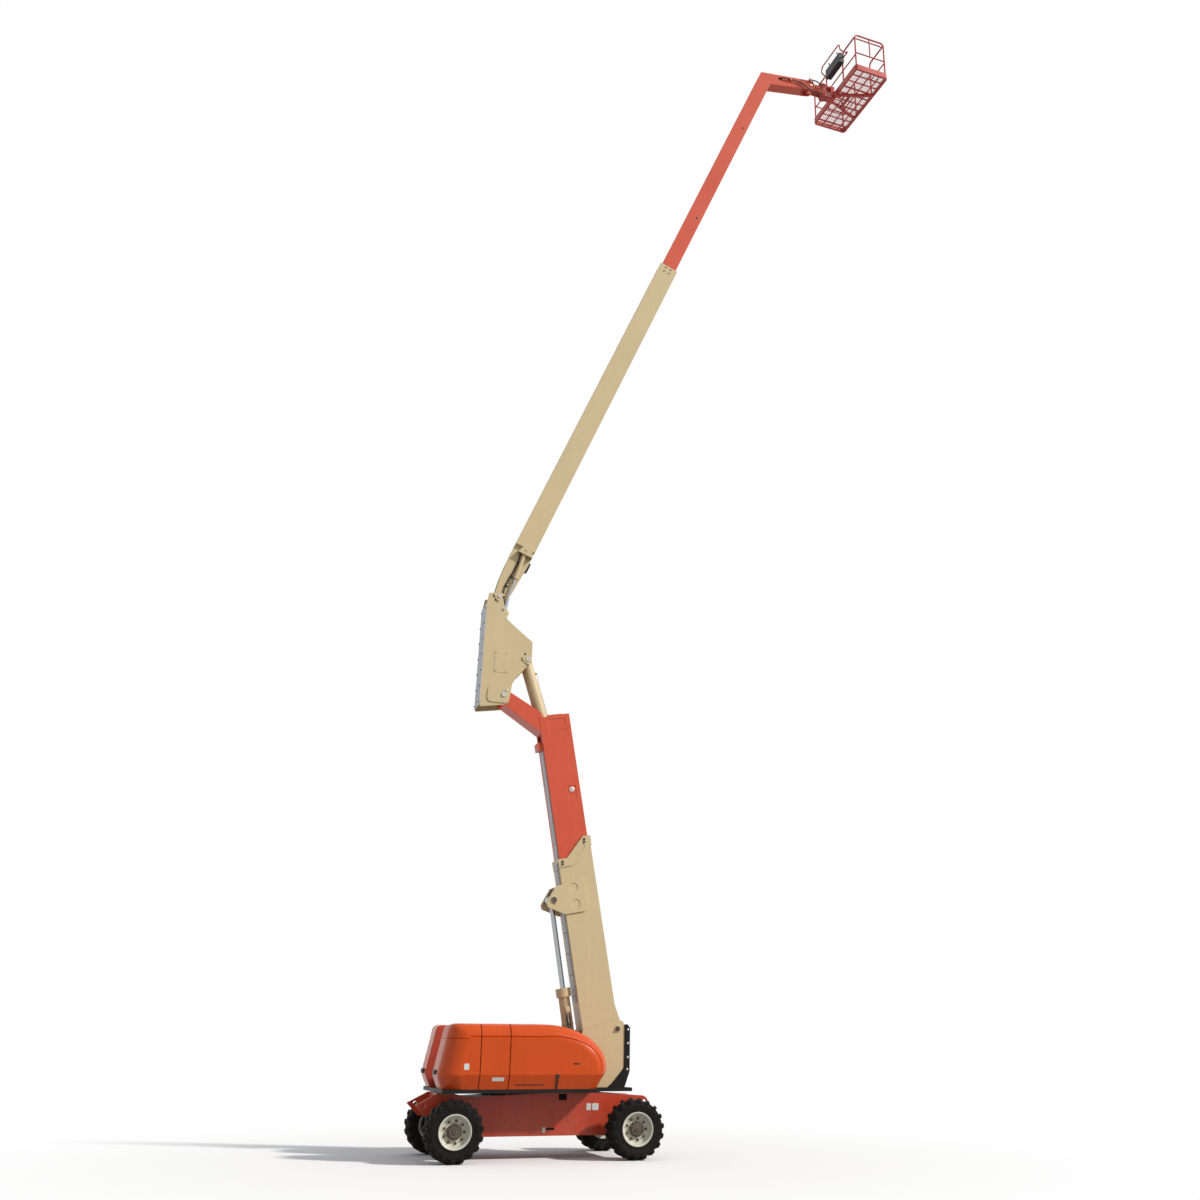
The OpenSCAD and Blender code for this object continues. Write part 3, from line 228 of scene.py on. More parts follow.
# Sprayed paint: slow drifts of tone, rain streaks down the sides, a fine orange peel and a
# slightly uneven gloss.
paint_film, given, result = group(
    "paint_film",
    [("Paint", "Color", (0.8, 0.8, 0.8, 1)), ("Gloss", "Float", 0.35), ("Drift", "Float", 0.5)],
    [("Color", "Color"), ("Roughness", "Float"), ("Height", "Float")])
place = add(paint_film, "TexCoord").outputs["Object"]
slow = noise(paint_film, place, 1.3, 4.0, 0.6)
drawn = add(paint_film, "VectorMath", {0: place, 1: (7.0, 7.0, 0.35)}, operation="MULTIPLY")
rain = noise(paint_film, drawn.outputs["Vector"], 2.2, 3.0)
tone = remap(paint_film, reckon(paint_film, "ADD", slow, rain), 0.7, 1.3, -1.0, 1.0)
drifted = reckon(paint_film, "MULTIPLY", tone, given.outputs["Drift"])
lift = remap(paint_film, drifted, -1.0, 1.0, 0.84, 1.13)
speck = remap(paint_film, noise(paint_film, place, 55.0, 2.0), 0.3, 0.7, 0.965, 1.035)
both = reckon(paint_film, "MULTIPLY", lift, speck)
toned = add(paint_film, "VectorMath", {0: given.outputs["Paint"], "Scale": both}, operation="SCALE")
sheen = remap(paint_film, slow, 0.3, 0.7, -0.07, 0.07)
feed(paint_film, result, {"Color": toned.outputs["Vector"],
                          "Roughness": reckon(paint_film, "ADD", given.outputs["Gloss"], sheen),
                          "Height": noise(paint_film, place, 240.0, 1.0)})

# Edges: a band along plate ends takes a second colour, and the edge itself reads as rounded. A darker second
# colour is worn paint; a lighter one in the paint's own hue is a painted highlight.
edge_wear_and_highlight, given, result = group(
    "edge_wear_and_highlight",
    [("Color", "Color", (0.8, 0.8, 0.8, 1)), ("Worn and Lit", "Color", (0.3, 0.27, 0.25, 1)),
     ("Width", "Float", 0.006), ("Amount", "Float", 0.5)],
    [("Color", "Color"), ("Mask", "Float"), ("Normal", "Vector")])
rounded = add(edge_wear_and_highlight, "Bevel", {"Radius": given.outputs["Width"]}, samples=4).outputs["Normal"]
true = add(edge_wear_and_highlight, "NewGeometry").outputs["Normal"]
near = add(edge_wear_and_highlight, "VectorMath", {0: rounded, 1: true}, operation="DOT_PRODUCT").outputs["Value"]
at_edge = remap(edge_wear_and_highlight, near, 0.985, 0.80)
edge_breakup = noise(edge_wear_and_highlight, add(edge_wear_and_highlight, "TexCoord").outputs["Object"], 34.0, 5.0, 0.7)
mask = reckon(edge_wear_and_highlight, "MULTIPLY", at_edge, remap(edge_wear_and_highlight, edge_breakup, 0.48, 0.66))
mask = reckon(edge_wear_and_highlight, "MULTIPLY", mask, given.outputs["Amount"], use_clamp=True)
edge_tinted = blend(edge_wear_and_highlight, mask, given.outputs["Color"], given.outputs["Worn and Lit"])
feed(edge_wear_and_highlight, result, {"Color": edge_tinted, "Mask": mask, "Normal": rounded})

# Road dust: a dry film that is thickest near the ground and in broad patches.
road_dust, given, result = group(
    "road_dust",
    [("Color", "Color", (0.8, 0.8, 0.8, 1)), ("Dust", "Color", (0.36, 0.29, 0.21, 1)),
     ("Top", "Float", 1.0), ("Amount", "Float", 0.4)],
    [("Color", "Color"), ("Mask", "Float")])
place = add(road_dust, "TexCoord").outputs["Object"]
height = add(road_dust, "SeparateXYZ", {"Vector": place}).outputs["Z"]
low = remap(road_dust, height, given.outputs["Top"], 0.0)
patches = remap(road_dust, noise(road_dust, place, 3.2, 6.0, 0.65), 0.35, 0.7)
mask = reckon(road_dust, "MULTIPLY", low, patches)
mask = reckon(road_dust, "MULTIPLY", mask, given.outputs["Amount"], use_clamp=True)
dusted = blend(road_dust, mask, given.outputs["Color"], given.outputs["Dust"])
feed(road_dust, result, {"Color": dusted, "Mask": mask})


def place_group(tree, made, inputs):
    """The outputs of one placed copy of a shader group, fed as given."""
    return add(tree, "Group", inputs, node_tree=made).outputs


def paint(name, colour, gloss=0.35, drift=0.5, edge_amount_worn_and_lit=0.35, edge=0.006, edge_colour_worn_and_lit=(0.20, 0.15, 0.12, 1),
          dust=0.0, dust_top=1.0, peel_depth=0.0004, coat=0.0, specular=0.35):
    """Painted sheet: film, an edge band in a second colour (worn paint where darker, a painted highlight
    where lighter) and, where asked, road dust and a clear coat.
    """
    material, tree, surface = shader(name)
    film = place_group(tree, paint_film, {"Paint": colour, "Gloss": gloss, "Drift": drift})
    edge_look = {"Color": film["Color"], "Worn and Lit": edge_colour_worn_and_lit, "Width": edge, "Amount": edge_amount_worn_and_lit}
    edges = place_group(tree, edge_wear_and_highlight, edge_look)
    skin, rough = edges["Color"], film["Roughness"]
    if dust:
        dusty = place_group(tree, road_dust, {"Color": skin, "Top": dust_top, "Amount": dust})
        matt = reckon(tree, "MULTIPLY", dusty["Mask"], 0.5)
        skin, rough = dusty["Color"], reckon(tree, "ADD", rough, matt, use_clamp=True)
    relief = add(tree, "Bump", {"Height": film["Height"], "Distance": peel_depth, "Strength": 0.5,
                                "Normal": edges["Normal"]})
    feed(tree, surface, {"Base Color": skin, "Roughness": rough, "Normal": relief.outputs["Normal"],
                         "Specular IOR Level": specular, "Coat Weight": coat, "Coat Roughness": 0.12})
    return material


def wear_finish(material, *names):
    """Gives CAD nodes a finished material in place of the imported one."""
    for name in names:
        data = nodes[name].data
        if not data.materials:
            data.materials.append(material)
        for i in range(len(data.materials)):
            data.materials[i] = material


frame_orange = paint("frame_orange", linear(190, 64, 36), gloss=0.34, drift=0.6, dust=0.30,
                     dust_top=0.9, coat=0.1)
wear_finish(frame_orange, "chassis_frame", "slot_walls")


# Axles, knuckles, deck, counterweight and the folded front cover are steel and castings under a
# plain black chassis paint, dusty low down. The slewing bearing, the engine and the oil tank are a
# plain grey.
chassis_black = paint("chassis_black", linear(12, 11, 12), gloss=0.5, drift=0.7, edge_amount_worn_and_lit=0.5, dust=0.25,
                      dust_top=1.2, edge_colour_worn_and_lit=(0.12, 0.11, 0.10, 1), specular=0.2)
wear_finish(chassis_black, "rear_axle", "front_axle", "knuckle_right", "knuckle_left", "turntable_deck",
            "front_cover", "counterweight")
bearing_steel = paint("bearing_steel", linear(120, 118, 112), gloss=0.4, drift=0.8, edge_amount_worn_and_lit=0.3)
wear_finish(bearing_steel, "swing_bearing", "engine_block", "oil_tank")


# Foam-filled rubber tyres: a moulded carcass with two raised sidewall rings, and tread lugs that
# lean across the crown and wrap over the shoulder, their edges rubbed grey.
def stand(at, out, up=(0, 0, 1)):
    """A place at a point whose Z axis points along out."""
    z = Vector(out).normalized()
    x = Vector(up).cross(z)
    if x.length < 1e-6:
        x = Vector((1, 0, 0))
    x.normalize()
    return Matrix.Translation(Vector(at)) @ Matrix((x, z.cross(x), z)).transposed().to_4x4()


def lathe(bm, profile, place, steps=32, closed=False):
    """Turns a profile of (radius, height) about a place's Z axis; a point on the axis closes an end."""
    rings = []
    for radius, height in profile:
        spots = circle(steps, radius) if radius > 1e-6 else [(0.0, 0.0)]
        rings.append([bm.verts.new(place @ Vector((x, y, height))) for x, y in spots])
    if closed:
        rings.append(rings[0])
    for low, high in zip(rings, rings[1:]):
        for i in range(steps):
            j = (i + 1) % steps
            around = [low[i % len(low)], low[j % len(low)], high[j % len(high)], high[i % len(high)]]
            around = list(dict.fromkeys(around))
            if len(around) > 2:
                bm.faces.new(around)


def shell(bm, bottom, top, bevel=0.0):
    """Closes two like loops of points into a solid and rounds its edges."""
    low = [bm.verts.new(p) for p in bottom]
    high = [bm.verts.new(p) for p in top]
    faces = [bm.faces.new(low[::-1]), bm.faces.new(high)]
    for i in range(len(low)):
        j = (i + 1) % len(low)
        faces.append(bm.faces.new((low[i], low[j], high[j], high[i])))
    if bevel:
        edges = list({edge for face in faces for edge in face.edges})
        bmesh.ops.bevel(bm, geom=edges, offset=bevel, segments=2, affect="EDGES", profile=0.5,
                        clamp_overlap=True)


def piece(name, bm, material, body, crease=38.0):
    """Makes a built mesh a piece of the machine that moves with a body."""
    bmesh.ops.recalc_face_normals(bm, faces=bm.faces)
    mesh = bpy.data.meshes.new(name)
    bm.to_mesh(mesh)
    bm.free()
    mesh.shade_smooth()
    mesh.set_sharp_from_angle(angle=math.radians(crease))
    mesh.materials.append(material)
    made = bpy.data.objects.new(name, mesh)
    scene.collection.objects.link(made)
    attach(made, body)
    return made


tyre_rubber, tree, surface = shader("tyre_rubber")
grit = noise(tree, add(tree, "TexCoord").outputs["Object"], 90.0, 5.0, 0.7)
tint = blend(tree, grit, linear(5, 5, 5), linear(13, 12, 12))
rubbed = place_group(tree, edge_wear_and_highlight, {"Color": tint, "Worn and Lit": linear(104, 100, 95), "Width": 0.014,
                                       "Amount": 0.75})
dusty = place_group(tree, road_dust, {"Color": rubbed["Color"], "Top": 1.1, "Amount": 0.04})
relief = add(tree, "Bump", {"Height": grit, "Distance": 0.002, "Strength": 0.6,
                            "Normal": rubbed["Normal"]})
feed(tree, surface, {"Base Color": dusty["Color"], "Roughness": 0.72, "Specular IOR Level": 0.15,
                     "Normal": relief.outputs["Normal"]})

axle_x, track_half, axle_z = 1.525, 1.025, 0.480
tyre_r, crown, bead = 0.480, 0.450, 0.257
side_line = [(bead, 0.165), (0.272, 0.1795), (0.296, 0.1805), (0.318, 0.1805), (0.332, 0.181),
             (0.335, 0.185), (0.343, 0.185), (0.346, 0.182), (0.368, 0.184), (0.371, 0.1865),
             (0.377, 0.1865), (0.380, 0.184), (0.405, 0.180), (0.425, 0.170), (0.440, 0.152),
             (0.448, 0.120), (crown, 0.060)]
carcass = side_line + [(crown, 0.0)] + [(r, -w) for r, w in reversed(side_line)] + [(bead, 0.0)]
lug_side = [(0.016, 0.425), (0.016, tyre_r), (0.140, tyre_r), (0.166, 0.466), (0.183, 0.436),
            (0.187, 0.402), (0.150, 0.400)]
lug_count, lug_half, lug_flare = 18, 0.030, 0.10
lug_lean, lean_from, lug_stagger = 0.62, 0.10, 0.25
corners = {"front_right": (1, -1), "front_left": (1, 1), "rear_right": (-1, -1), "rear_left": (-1, 1)}
for corner, (end, hand) in corners.items():
    wheel_place = stand((end * axle_x, hand * track_half, axle_z), (0, hand, 0))
    bm = bmesh.new()
    lathe(bm, carcass, wheel_place, steps=96, closed=True)
    for side in (1, -1):
        for i in range(lug_count):
            turn = math.tau * (i + lug_stagger * side) / lug_count
            flanks = []
            for flank in (-1, 1):
                line = []
                for wide, radius in lug_side:
                    half = lug_half + lug_flare * (tyre_r - radius)
                    angle = turn + flank * half / radius + side * lug_lean * (wide - lean_from)
                    spot = Vector((radius * math.cos(angle), radius * math.sin(angle), side * wide))
                    line.append(wheel_place @ spot)
                flanks.append(line)
            shell(bm, flanks[0], flanks[1], bevel=0.005)
    tyre = piece("cast_tyre_" + corner, bm, tyre_rubber, "roadwheel_" + corner)
    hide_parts("tyre_" + corner)


# Thin black plates sit just inside the two openings in each side of the frame: painted shade, so that the
# openings read as deep and dark.
def oblong(u0, u1, v0, v1):
    """The four corners of a plain plate."""
    return [(u0, v0), (u1, v0), (u1, v1), (u0, v1)]


def on_side(hand):
    """Turns X, Z and a distance out from the machine's middle, on one of its sides, into a point."""
    return lambda x, z, y: Vector((x, hand * y, z))


def slab(bm, outline, spot, low, high, bevel=0.0):
    """A plate between two depths; spot makes a point of an outline's two values and a depth."""
    shell(bm, [spot(u, v, low) for u, v in outline], [spot(u, v, high) for u, v in outline], bevel)


shade_plate_in, shade_plate_out = 0.500, 0.512
bm = bmesh.new()
for hand in (-1, 1):
    for opening in ((0.337, 0.471, 0.918, 1.012), (0.136, 0.269, 0.452, 0.482)):
        slab(bm, oblong(*opening), on_side(hand), shade_plate_in, shade_plate_out, bevel=0.002)
piece("frame_opening_shade", bm, tyre_rubber, "chassis")


# Pale steel discs hold the tyres, nine nuts hold each disc on its planetary hub, and a ring of
# small screws closes the hub's end cover.
rim_paint = paint("rim_paint", linear(206, 205, 190), gloss=0.4, drift=0.6, edge_amount_worn_and_lit=0.35, dust=0.4,
                  dust_top=1.0, edge_colour_worn_and_lit=(0.16, 0.09, 0.05, 1))
hub_iron = paint("hub_iron", linear(66, 60, 50), gloss=0.62, drift=0.9, edge_amount_worn_and_lit=0.4, dust=0.5, dust_top=1.0,
                 peel_depth=0.0015)
nut_rust = paint("nut_rust", linear(112, 86, 58), gloss=0.6, drift=1.0, edge_amount_worn_and_lit=0.6,
                 edge_colour_worn_and_lit=(0.22, 0.19, 0.16, 1), peel_depth=0.001)


def bolt(bm, at, out, size):
    """A hexagon head on its washer, size across the flats, standing on a face."""
    washer = [(0, -0.1), (0.78, -0.1), (0.78, 0.10), (0.72, 0.14), (0, 0.14)]
    head = [(0, 0.10), (0.577, 0.10), (0.577, 0.62), (0.47, 0.72), (0, 0.72)]
    for profile, steps in ((washer, 20), (head, 6)):
        lathe(bm, [(r * size, h * size) for r, h in profile], stand(at, out), steps=steps)


# The rim's profile is given from its bead seat, the disc's from the axle.
rim_seat, disc_face, disc_back, disc_hole = 0.256, 0.092, 0.075, 0.123
inner_rim = [(-0.016, -0.167), (0.014, -0.183), (0.014, -0.193), (-0.004, -0.193), (-0.026, -0.171),
             (-0.026, disc_back)]
outer_rim = [(-0.060, disc_face), (-0.034, 0.106), (-0.026, 0.124), (-0.026, 0.168), (-0.016, 0.182),
             (-0.004, 0.191), (0.005, 0.194), (0.013, 0.191), (0.014, 0.183), (0, 0.169), (0, -0.169)]
rim_line = [(rim_seat + r, w) for r, w in inner_rim]
rim_line += [(disc_hole, disc_back), (disc_hole, disc_face)]
rim_line += [(rim_seat + r, w) for r, w in outer_rim]
stud_circle, stud_count, stud_size = 0.168, 9, 0.030
stud_end = [(0, 0.0), (0.0095, 0.0), (0.0095, 0.036), (0.007, 0.040), (0, 0.040)]
cover_face, screw_circle, screw_count, screw_size = 0.135, 0.107, 10, 0.016
cap_face = 0.148
cap_line = [(0, -0.002), (0.040, -0.002), (0.040, 0.008), (0.034, 0.012), (0.016, 0.012), (0.014, 0.006),
            (0, 0.006)]
for corner, (end, hand) in corners.items():
    wear_finish(hub_iron, "hub_" + corner)
    wheel_place = stand((end * axle_x, hand * track_half, axle_z), (0, hand, 0))
    bm = bmesh.new()
    lathe(bm, rim_line, wheel_place, steps=72, closed=True)
    wheel = piece("wheel_disc_" + corner, bm, rim_paint, "roadwheel_" + corner)
    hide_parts("wheel_" + corner)
    bm = bmesh.new()
    for x, y in circle(stud_count, stud_circle):
        at = wheel_place @ Vector((x, y, disc_face))
        bolt(bm, at, (0, hand, 0), stud_size)
        lathe(bm, stud_end, stand(at, (0, hand, 0)), steps=12)
    piece("wheel_nuts_" + corner, bm, nut_rust, "roadwheel_" + corner)
    bm = bmesh.new()
    for x, y in circle(screw_count, screw_circle, start=0.5):
        bolt(bm, wheel_place @ Vector((x, y, cover_face)), (0, hand, 0), screw_size)
    lathe(bm, [(r, cap_face + h) for r, h in cap_line], wheel_place, steps=24)
    piece("hub_screws_" + corner, bm, hub_iron, "roadwheel_" + corner)


# The hoods are smooth moulded shells in bright gloss orange, parted by two seams: a tail, a middle
# and a door hung on two hinges. A groove runs along their shoulder, round the tail and down the
# nose; thin sheets close the tail's inner side, and a rubber strap pulls each door down.
hood_orange = paint("hood_orange", linear(206, 78, 24), gloss=0.30, drift=0.35, edge_amount_worn_and_lit=0.10, edge=0.004,
                    coat=0.05, edge_colour_worn_and_lit=(0.45, 0.14, 0.05, 1), peel_depth=0.0002, specular=0.2)
shell_half, shell_in, shell_wall, shell_foot = 1.150, 0.384, 0.012, 1.105
fold_z, fold_in, fold_half = 1.330, 0.095, 0.010
seams, seam_half = (-1.160, -0.670), 0.007
tail_x, tail_z, tail_lean, tail_round = -1.800, 1.400, 0.208, 0.340
bend_x, bend_z, bend_round, bend_rows = -1.560, 2.015, 0.110, 6
bend_from, bend_step, bend_side, side_step, bend_shrink = 166, 15.2, -1.350, 0.012, 0.0203
top_z, top_round, top_lap, lap_from, shoulder_z = 2.125, 0.218, 0.015, 2.1, 1.897
nose_x, nose_z, nose_long, nose_high = -0.150, 1.420, 1.205, 0.705
nose_round, nose_depth, nose_square, nose_rows = 0.270, 0.330, 0.95, 24
groove_at, groove_drop, groove_half, groove_deep, tail_groove = 84, 25, 2.8, 0.016, 0.014
round_steps, flat_steps = 8, 3
# Each row of a hood: its outer point, where its rounding meets the flat side, how deep that
# rounding is, the angle at which the groove lies on it, and the groove's depth, first where it
# crosses the row and then where it follows it.
hood_rows = []
for x, z in ((-1.722, 1.106), (-1.766, 1.205), (-1.803, 1.296), (-1.811, 1.318), (-1.812, 1.342),
             (-1.806, 1.372)):
    hood_rows.append((x, z, x + tail_round, z, tail_round, groove_at, 0, 0))
for z, row_cut in ((1.420, 0), (1.550, 0), (1.720, 0), (1.878, 0), (1.888, tail_groove), (shoulder_z, 0)):
    x = tail_x + tail_lean * (z - tail_z)
    hood_rows.append((x, z, x + tail_round, z, tail_round, groove_at, 0, row_cut))
for k in range(bend_rows):
    a = math.radians(bend_from - bend_step * k)
    hood_rows.append((bend_x + bend_round * math.cos(a), bend_z + bend_round * math.sin(a),
                      bend_side + side_step * k, shoulder_z, tail_round - bend_shrink * (k + 1),
                      groove_at, groove_deep * k / (bend_rows - 1), 0))
for x in (-1.250, -1.000, -0.750, -0.500, -0.300, nose_x):
    hood_rows.append((x, top_z, x, shoulder_z, top_round, groove_at, groove_deep, 0))
for k in range(1, nose_rows + 1):
    a = math.radians(90 * (1 - k / nose_rows))
    c, d = max(math.cos(a), 0.0), max(math.sin(a), 0.0)
    hood_rows.append((nose_x + nose_long * c ** nose_square, nose_z + nose_high * d ** nose_square,
                      nose_x + (nose_long - nose_round) * c, nose_z + (shoulder_z - nose_z) * d,
                      top_round + (nose_depth - top_round) * c, groove_at - groove_drop * c,
                      groove_deep, 0))
for x, z, cut in ((1.051, 1.388, groove_deep), (1.036, 1.350, groove_deep / 2), (1.012, 1.316, 0),
                  (0.956, 1.220, 0), (0.900, 1.106, 0)):
    hood_rows.append((x, z, x - nose_round, z, nose_depth, groove_at - groove_drop, cut, 0))
hood_skin = bmesh.new()
rings = []
for px, pz, qx, qz, depth, groove, cut, row_cut in hood_rows:
    inset = math.hypot(qx - px, qz - pz)
    ring = [hood_skin.verts.new((px, shell_in, pz - (top_lap if pz > lap_from else 0.0)))]
    angles = [groove * k / round_steps for k in range(round_steps)]
    angles += [groove - groove_half, groove, groove + groove_half]
    angles += [angles[-1] + (90 - angles[-1]) * k / flat_steps for k in range(1, flat_steps + 1)]
    for angle in angles:
        c, d = math.cos(math.radians(angle)), math.sin(math.radians(angle))
        deep = max(row_cut, cut if angle == groove else 0.0)
        inward = Vector((c / inset, d / depth)).normalized() * deep
        u = (inset * c - inward.x) / inset
        ring.append(hood_skin.verts.new((qx + (px - qx) * u, shell_half - depth + depth * d - inward.y,
                                         qz + (pz - qz) * u)))
    rings.append(ring)
for low, high in zip(rings, rings[1:]):
    for k in range(len(low) - 1):
        hood_skin.faces.new((low[k], low[k + 1], high[k + 1], high[k]))
hood_skin.faces.new([ring[-1] for ring in rings])
cuts = [((0, 0, fold_z + step), (0, 0, 1)) for step in (-fold_half, 0.0, fold_half)]
cuts += [((x + step, 0, 0), (1, 0, 0)) for x in seams for step in (-seam_half, seam_half)]
for spot, normal in cuts:
    whole = hood_skin.verts[:] + hood_skin.edges[:] + hood_skin.faces[:]
    bmesh.ops.bisect_plane(hood_skin, geom=whole, dist=1e-6, plane_co=spot, plane_no=normal)
for vert in hood_skin.verts:
    low = max(fold_z - vert.co.z, 0.0) / (fold_z - shell_foot)
    vert.co.y -= fold_in * low * (vert.co.y - shell_in) / (shell_half - shell_in)


def hood_part(hand, first, last):
    """One hood's skin between two places along the machine, made a wall of the shell's thickness."""
    bm = hood_skin.copy()
    gone = [f for f in bm.faces if not first < f.calc_center_median().x < last
            or any(abs(f.calc_center_median().x - x) < seam_half for x in seams)]
    bmesh.ops.delete(bm, geom=gone, context="FACES")
    bmesh.ops.recalc_face_normals(bm, faces=bm.faces)
    side = max(bm.faces, key=lambda f: f.calc_area())
    if side.normal.y < 0:
        bmesh.ops.reverse_faces(bm, faces=bm.faces)
    bmesh.ops.solidify(bm, geom=bm.faces[:], thickness=shell_wall)
    for vert in bm.verts:
        vert.co.y *= hand
    return bm


def pin_line(radius, half):
    """The profile of a round pin with eased ends."""
    front = [(radius, half - 0.004), (radius - 0.002, half), (0, half)]
    return [(r, -h) for r, h in reversed(front)] + front


moulded_black = paint("moulded_black", linear(34, 34, 36), gloss=0.5, drift=0.4, edge_amount_worn_and_lit=0.2,
                      edge_colour_worn_and_lit=(0.10, 0.10, 0.10, 1))
inner_sheet = [(-1.205, 1.106), (-1.205, 2.060), (-0.160, 2.060), (-0.160, 2.088), (-1.205, 2.088),
               (-1.560, 2.098), (-1.620, 2.084), (-1.655, 2.045), (-1.690, 1.900), (-1.797, 1.385),
               (-1.803, 1.340), (-1.796, 1.300), (-1.716, 1.106)]
sheet_in, sheet_t = 0.372, 0.010
hinge_y, hinge_z, leaf_half, leaf_in, leaf_out = 0.370, 2.103, 0.060, 0.366, 0.450
leaf_low, leaf_top = 2.108, 2.117
strap_x, strap_half = 0.145, 0.017
strap_line = [(1.128, 1.300), (1.140, 1.330), (1.158, 1.325), (1.156, 1.300), (1.064, 1.108),
              (1.050, 1.112)]
cup_x, cup_z, cup_y = 0.465, 1.503, 1.149
grip = [(-0.052, -0.012), (0.040, -0.012), (0.052, 0), (0.040, 0.012), (-0.052, 0.012)]
lamp_line = oblong(0.520, 0.745, 1.328, 1.402)
lip_y, lip_z, lip_rise, lip_lean = 1.0846, 1.175, 0.0074, 0.0031
lip_line = [(-0.560, -1), (-0.560, 1), (-0.070, 1), (-0.070, -1)]
for side, hand in (("right", -1), ("left", 1)):
    door = "door_" + side

    def on_top(x, y, z):
        return Vector((x, hand * y, z))

    def across_shell(y, z, x):
        return Vector((x, hand * y, z))

    def on_lip(x, rise, out):
        return Vector((x, hand * (lip_y + lip_lean * rise + out), lip_z + lip_rise * rise - out / 2))

    made = piece("hood_shell_" + side, hood_part(hand, -2.0, seams[1]), hood_orange, "turntable",
                 crease=32.0)
    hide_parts("hood_" + side)
    made = piece("door_shell_" + side, hood_part(hand, seams[1], 2.0), hood_orange, door,
                 crease=32.0)
    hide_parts("hood_door_" + side)
    bm = bmesh.new()
    for x in (-0.560, -0.100):
        lathe(bm, pin_line(0.013, 0.080), stand((x, hand * hinge_y, hinge_z), (1, 0, 0)), steps=16)
        leaf = oblong(x - leaf_half, x + leaf_half, leaf_in, leaf_out)
        slab(bm, leaf, on_top, leaf_low, leaf_top, bevel=0.002)
    piece("hood_hinges_" + side, bm, moulded_black, door)
    bm = bmesh.new()
    slab(bm, lamp_line, across_shell, -1.780, -1.838, bevel=0.010)
    piece("tail_lamp_" + side, bm, moulded_black, "turntable")
    # A thin black strip along each door's lower slope is painted shade: it stands for the shadow in a shallow
    # moulded recess there.
    bm = bmesh.new()
    slab(bm, lip_line, on_lip, -0.004, 0.002, bevel=0.001)
    piece("door_recess_shade_" + side, bm, moulded_black, door)
    bm = bmesh.new()
    slab(bm, inner_sheet, on_side(hand), sheet_in, sheet_in + sheet_t, bevel=0.003)
    piece("tail_sheet_" + side, bm, frame_orange, "turntable")
    bm = bmesh.new()
    slab(bm, strap_line, across_shell, strap_x - strap_half, strap_x + strap_half, bevel=0.003)
    lathe(bm, pin_line(0.015, 0.032), stand((strap_x, hand * 1.150, 1.324), (1, 0, 0)), steps=16)
    piece("hood_strap_" + side, bm, moulded_black, door)
    bm = bmesh.new()
    slab(bm, [(cup_x + u, cup_z + v) for u, v in grip], on_side(hand), cup_y - 0.004, cup_y + 0.006,
         bevel=0.003)
    piece("hood_latch_" + side, bm, moulded_black, door)


# Under the right hood stands the oil tank: filler cap, return filter and a sight gauge, held down
# by two steel bands. Under the left hood stands the engine: rocker cover, air filter, oil filter
# and a fan guard.
tank_x0, tank_x1, tank_y, tank_z = -0.560, 0.300, -0.960, 1.665
filler_line = [(0, -0.010), (0.075, -0.010), (0.075, 0.012), (0.055, 0.016), (0.055, 0.048),
               (0.062, 0.052), (0.062, 0.078), (0.054, 0.086), (0, 0.086)]
filter_line = [(0, -0.010), (0.090, -0.010), (0.090, 0.020), (0.078, 0.026), (0.078, 0.090),
               (0.066, 0.104), (0, 0.108)]
on_tank = on_side(1)
bm = bmesh.new()
lathe(bm, filler_line, stand((0.160, -0.720, tank_z), (0, 0, 1)), steps=36)
lathe(bm, filter_line, stand((-0.240, -0.700, tank_z), (0, 0, 1)), steps=36)
slab(bm, oblong(-0.452, -0.416, 1.240, 1.500), on_tank, tank_y + 0.002, tank_y - 0.018, bevel=0.005)
piece("tank_fittings", bm, moulded_black, "turntable")
bm = bmesh.new()
for x in (tank_x0 + 0.200, tank_x1 - 0.260):
    band = oblong(x - 0.020, x + 0.020, 1.107, tank_z + 0.003)
    slab(bm, band, on_tank, tank_y + 0.001, tank_y - 0.004, bevel=0.001)
    bolt(bm, (x, tank_y - 0.004, 1.140), (0, -1, 0), 0.022)
piece("tank_bands", bm, bearing_steel, "turntable")
engine_y, engine_z = 0.960, 1.745
cleaner_line = [(0, -0.210), (0.070, -0.210), (0.078, -0.190), (0.105, -0.180), (0.105, 0.100),
                (0.112, 0.104), (0.112, 0.140), (0.105, 0.144), (0.105, 0.180), (0.090, 0.200), (0, 0.200)]
oil_filter_line = [(0, -0.010), (0.052, -0.010), (0.052, 0.010), (0.046, 0.014), (0.046, 0.090),
                   (0.036, 0.104), (0, 0.106)]
bm = bmesh.new()
shell(bm, [Vector((x, y, engine_z - 0.010)) for x, y in oblong(-0.870, -0.380, 0.560, 0.880)],
      [Vector((x, y, engine_z + 0.080)) for x, y in oblong(-0.850, -0.400, 0.580, 0.860)], bevel=0.016)
lathe(bm, cleaner_line, stand((-0.120, 0.640, engine_z + 0.100), (1, 0, 0)), steps=40)
lathe(bm, oil_filter_line, stand((-0.560, engine_y, 1.360), (0, 1, 0)), steps=32)
piece("engine_fittings", bm, moulded_black, "turntable")
fan_hub = Vector((0.170, 0.720, 1.420))
fan_axis = Vector((1, 0, 0))
spoke = oblong(-0.240, 0.240, -0.008, 0.008)
bm = bmesh.new()
for radius in (0.060, 0.120, 0.180, 0.230):
    lathe(bm, oblong(radius - 0.006, radius + 0.006, 0.012, 0.024), stand(fan_hub, fan_axis), steps=48,
          closed=True)
for k in range(3):
    arm = Vector((0, math.cos(math.pi * k / 3), math.sin(math.pi * k / 3)))
    slab(bm, spoke, lambda u, v, out: fan_hub + u * arm + v * fan_axis.cross(arm) + out * fan_axis,
         -0.004, 0.016, bevel=0.001)
piece("fan_guard", bm, bearing_steel, "turntable")


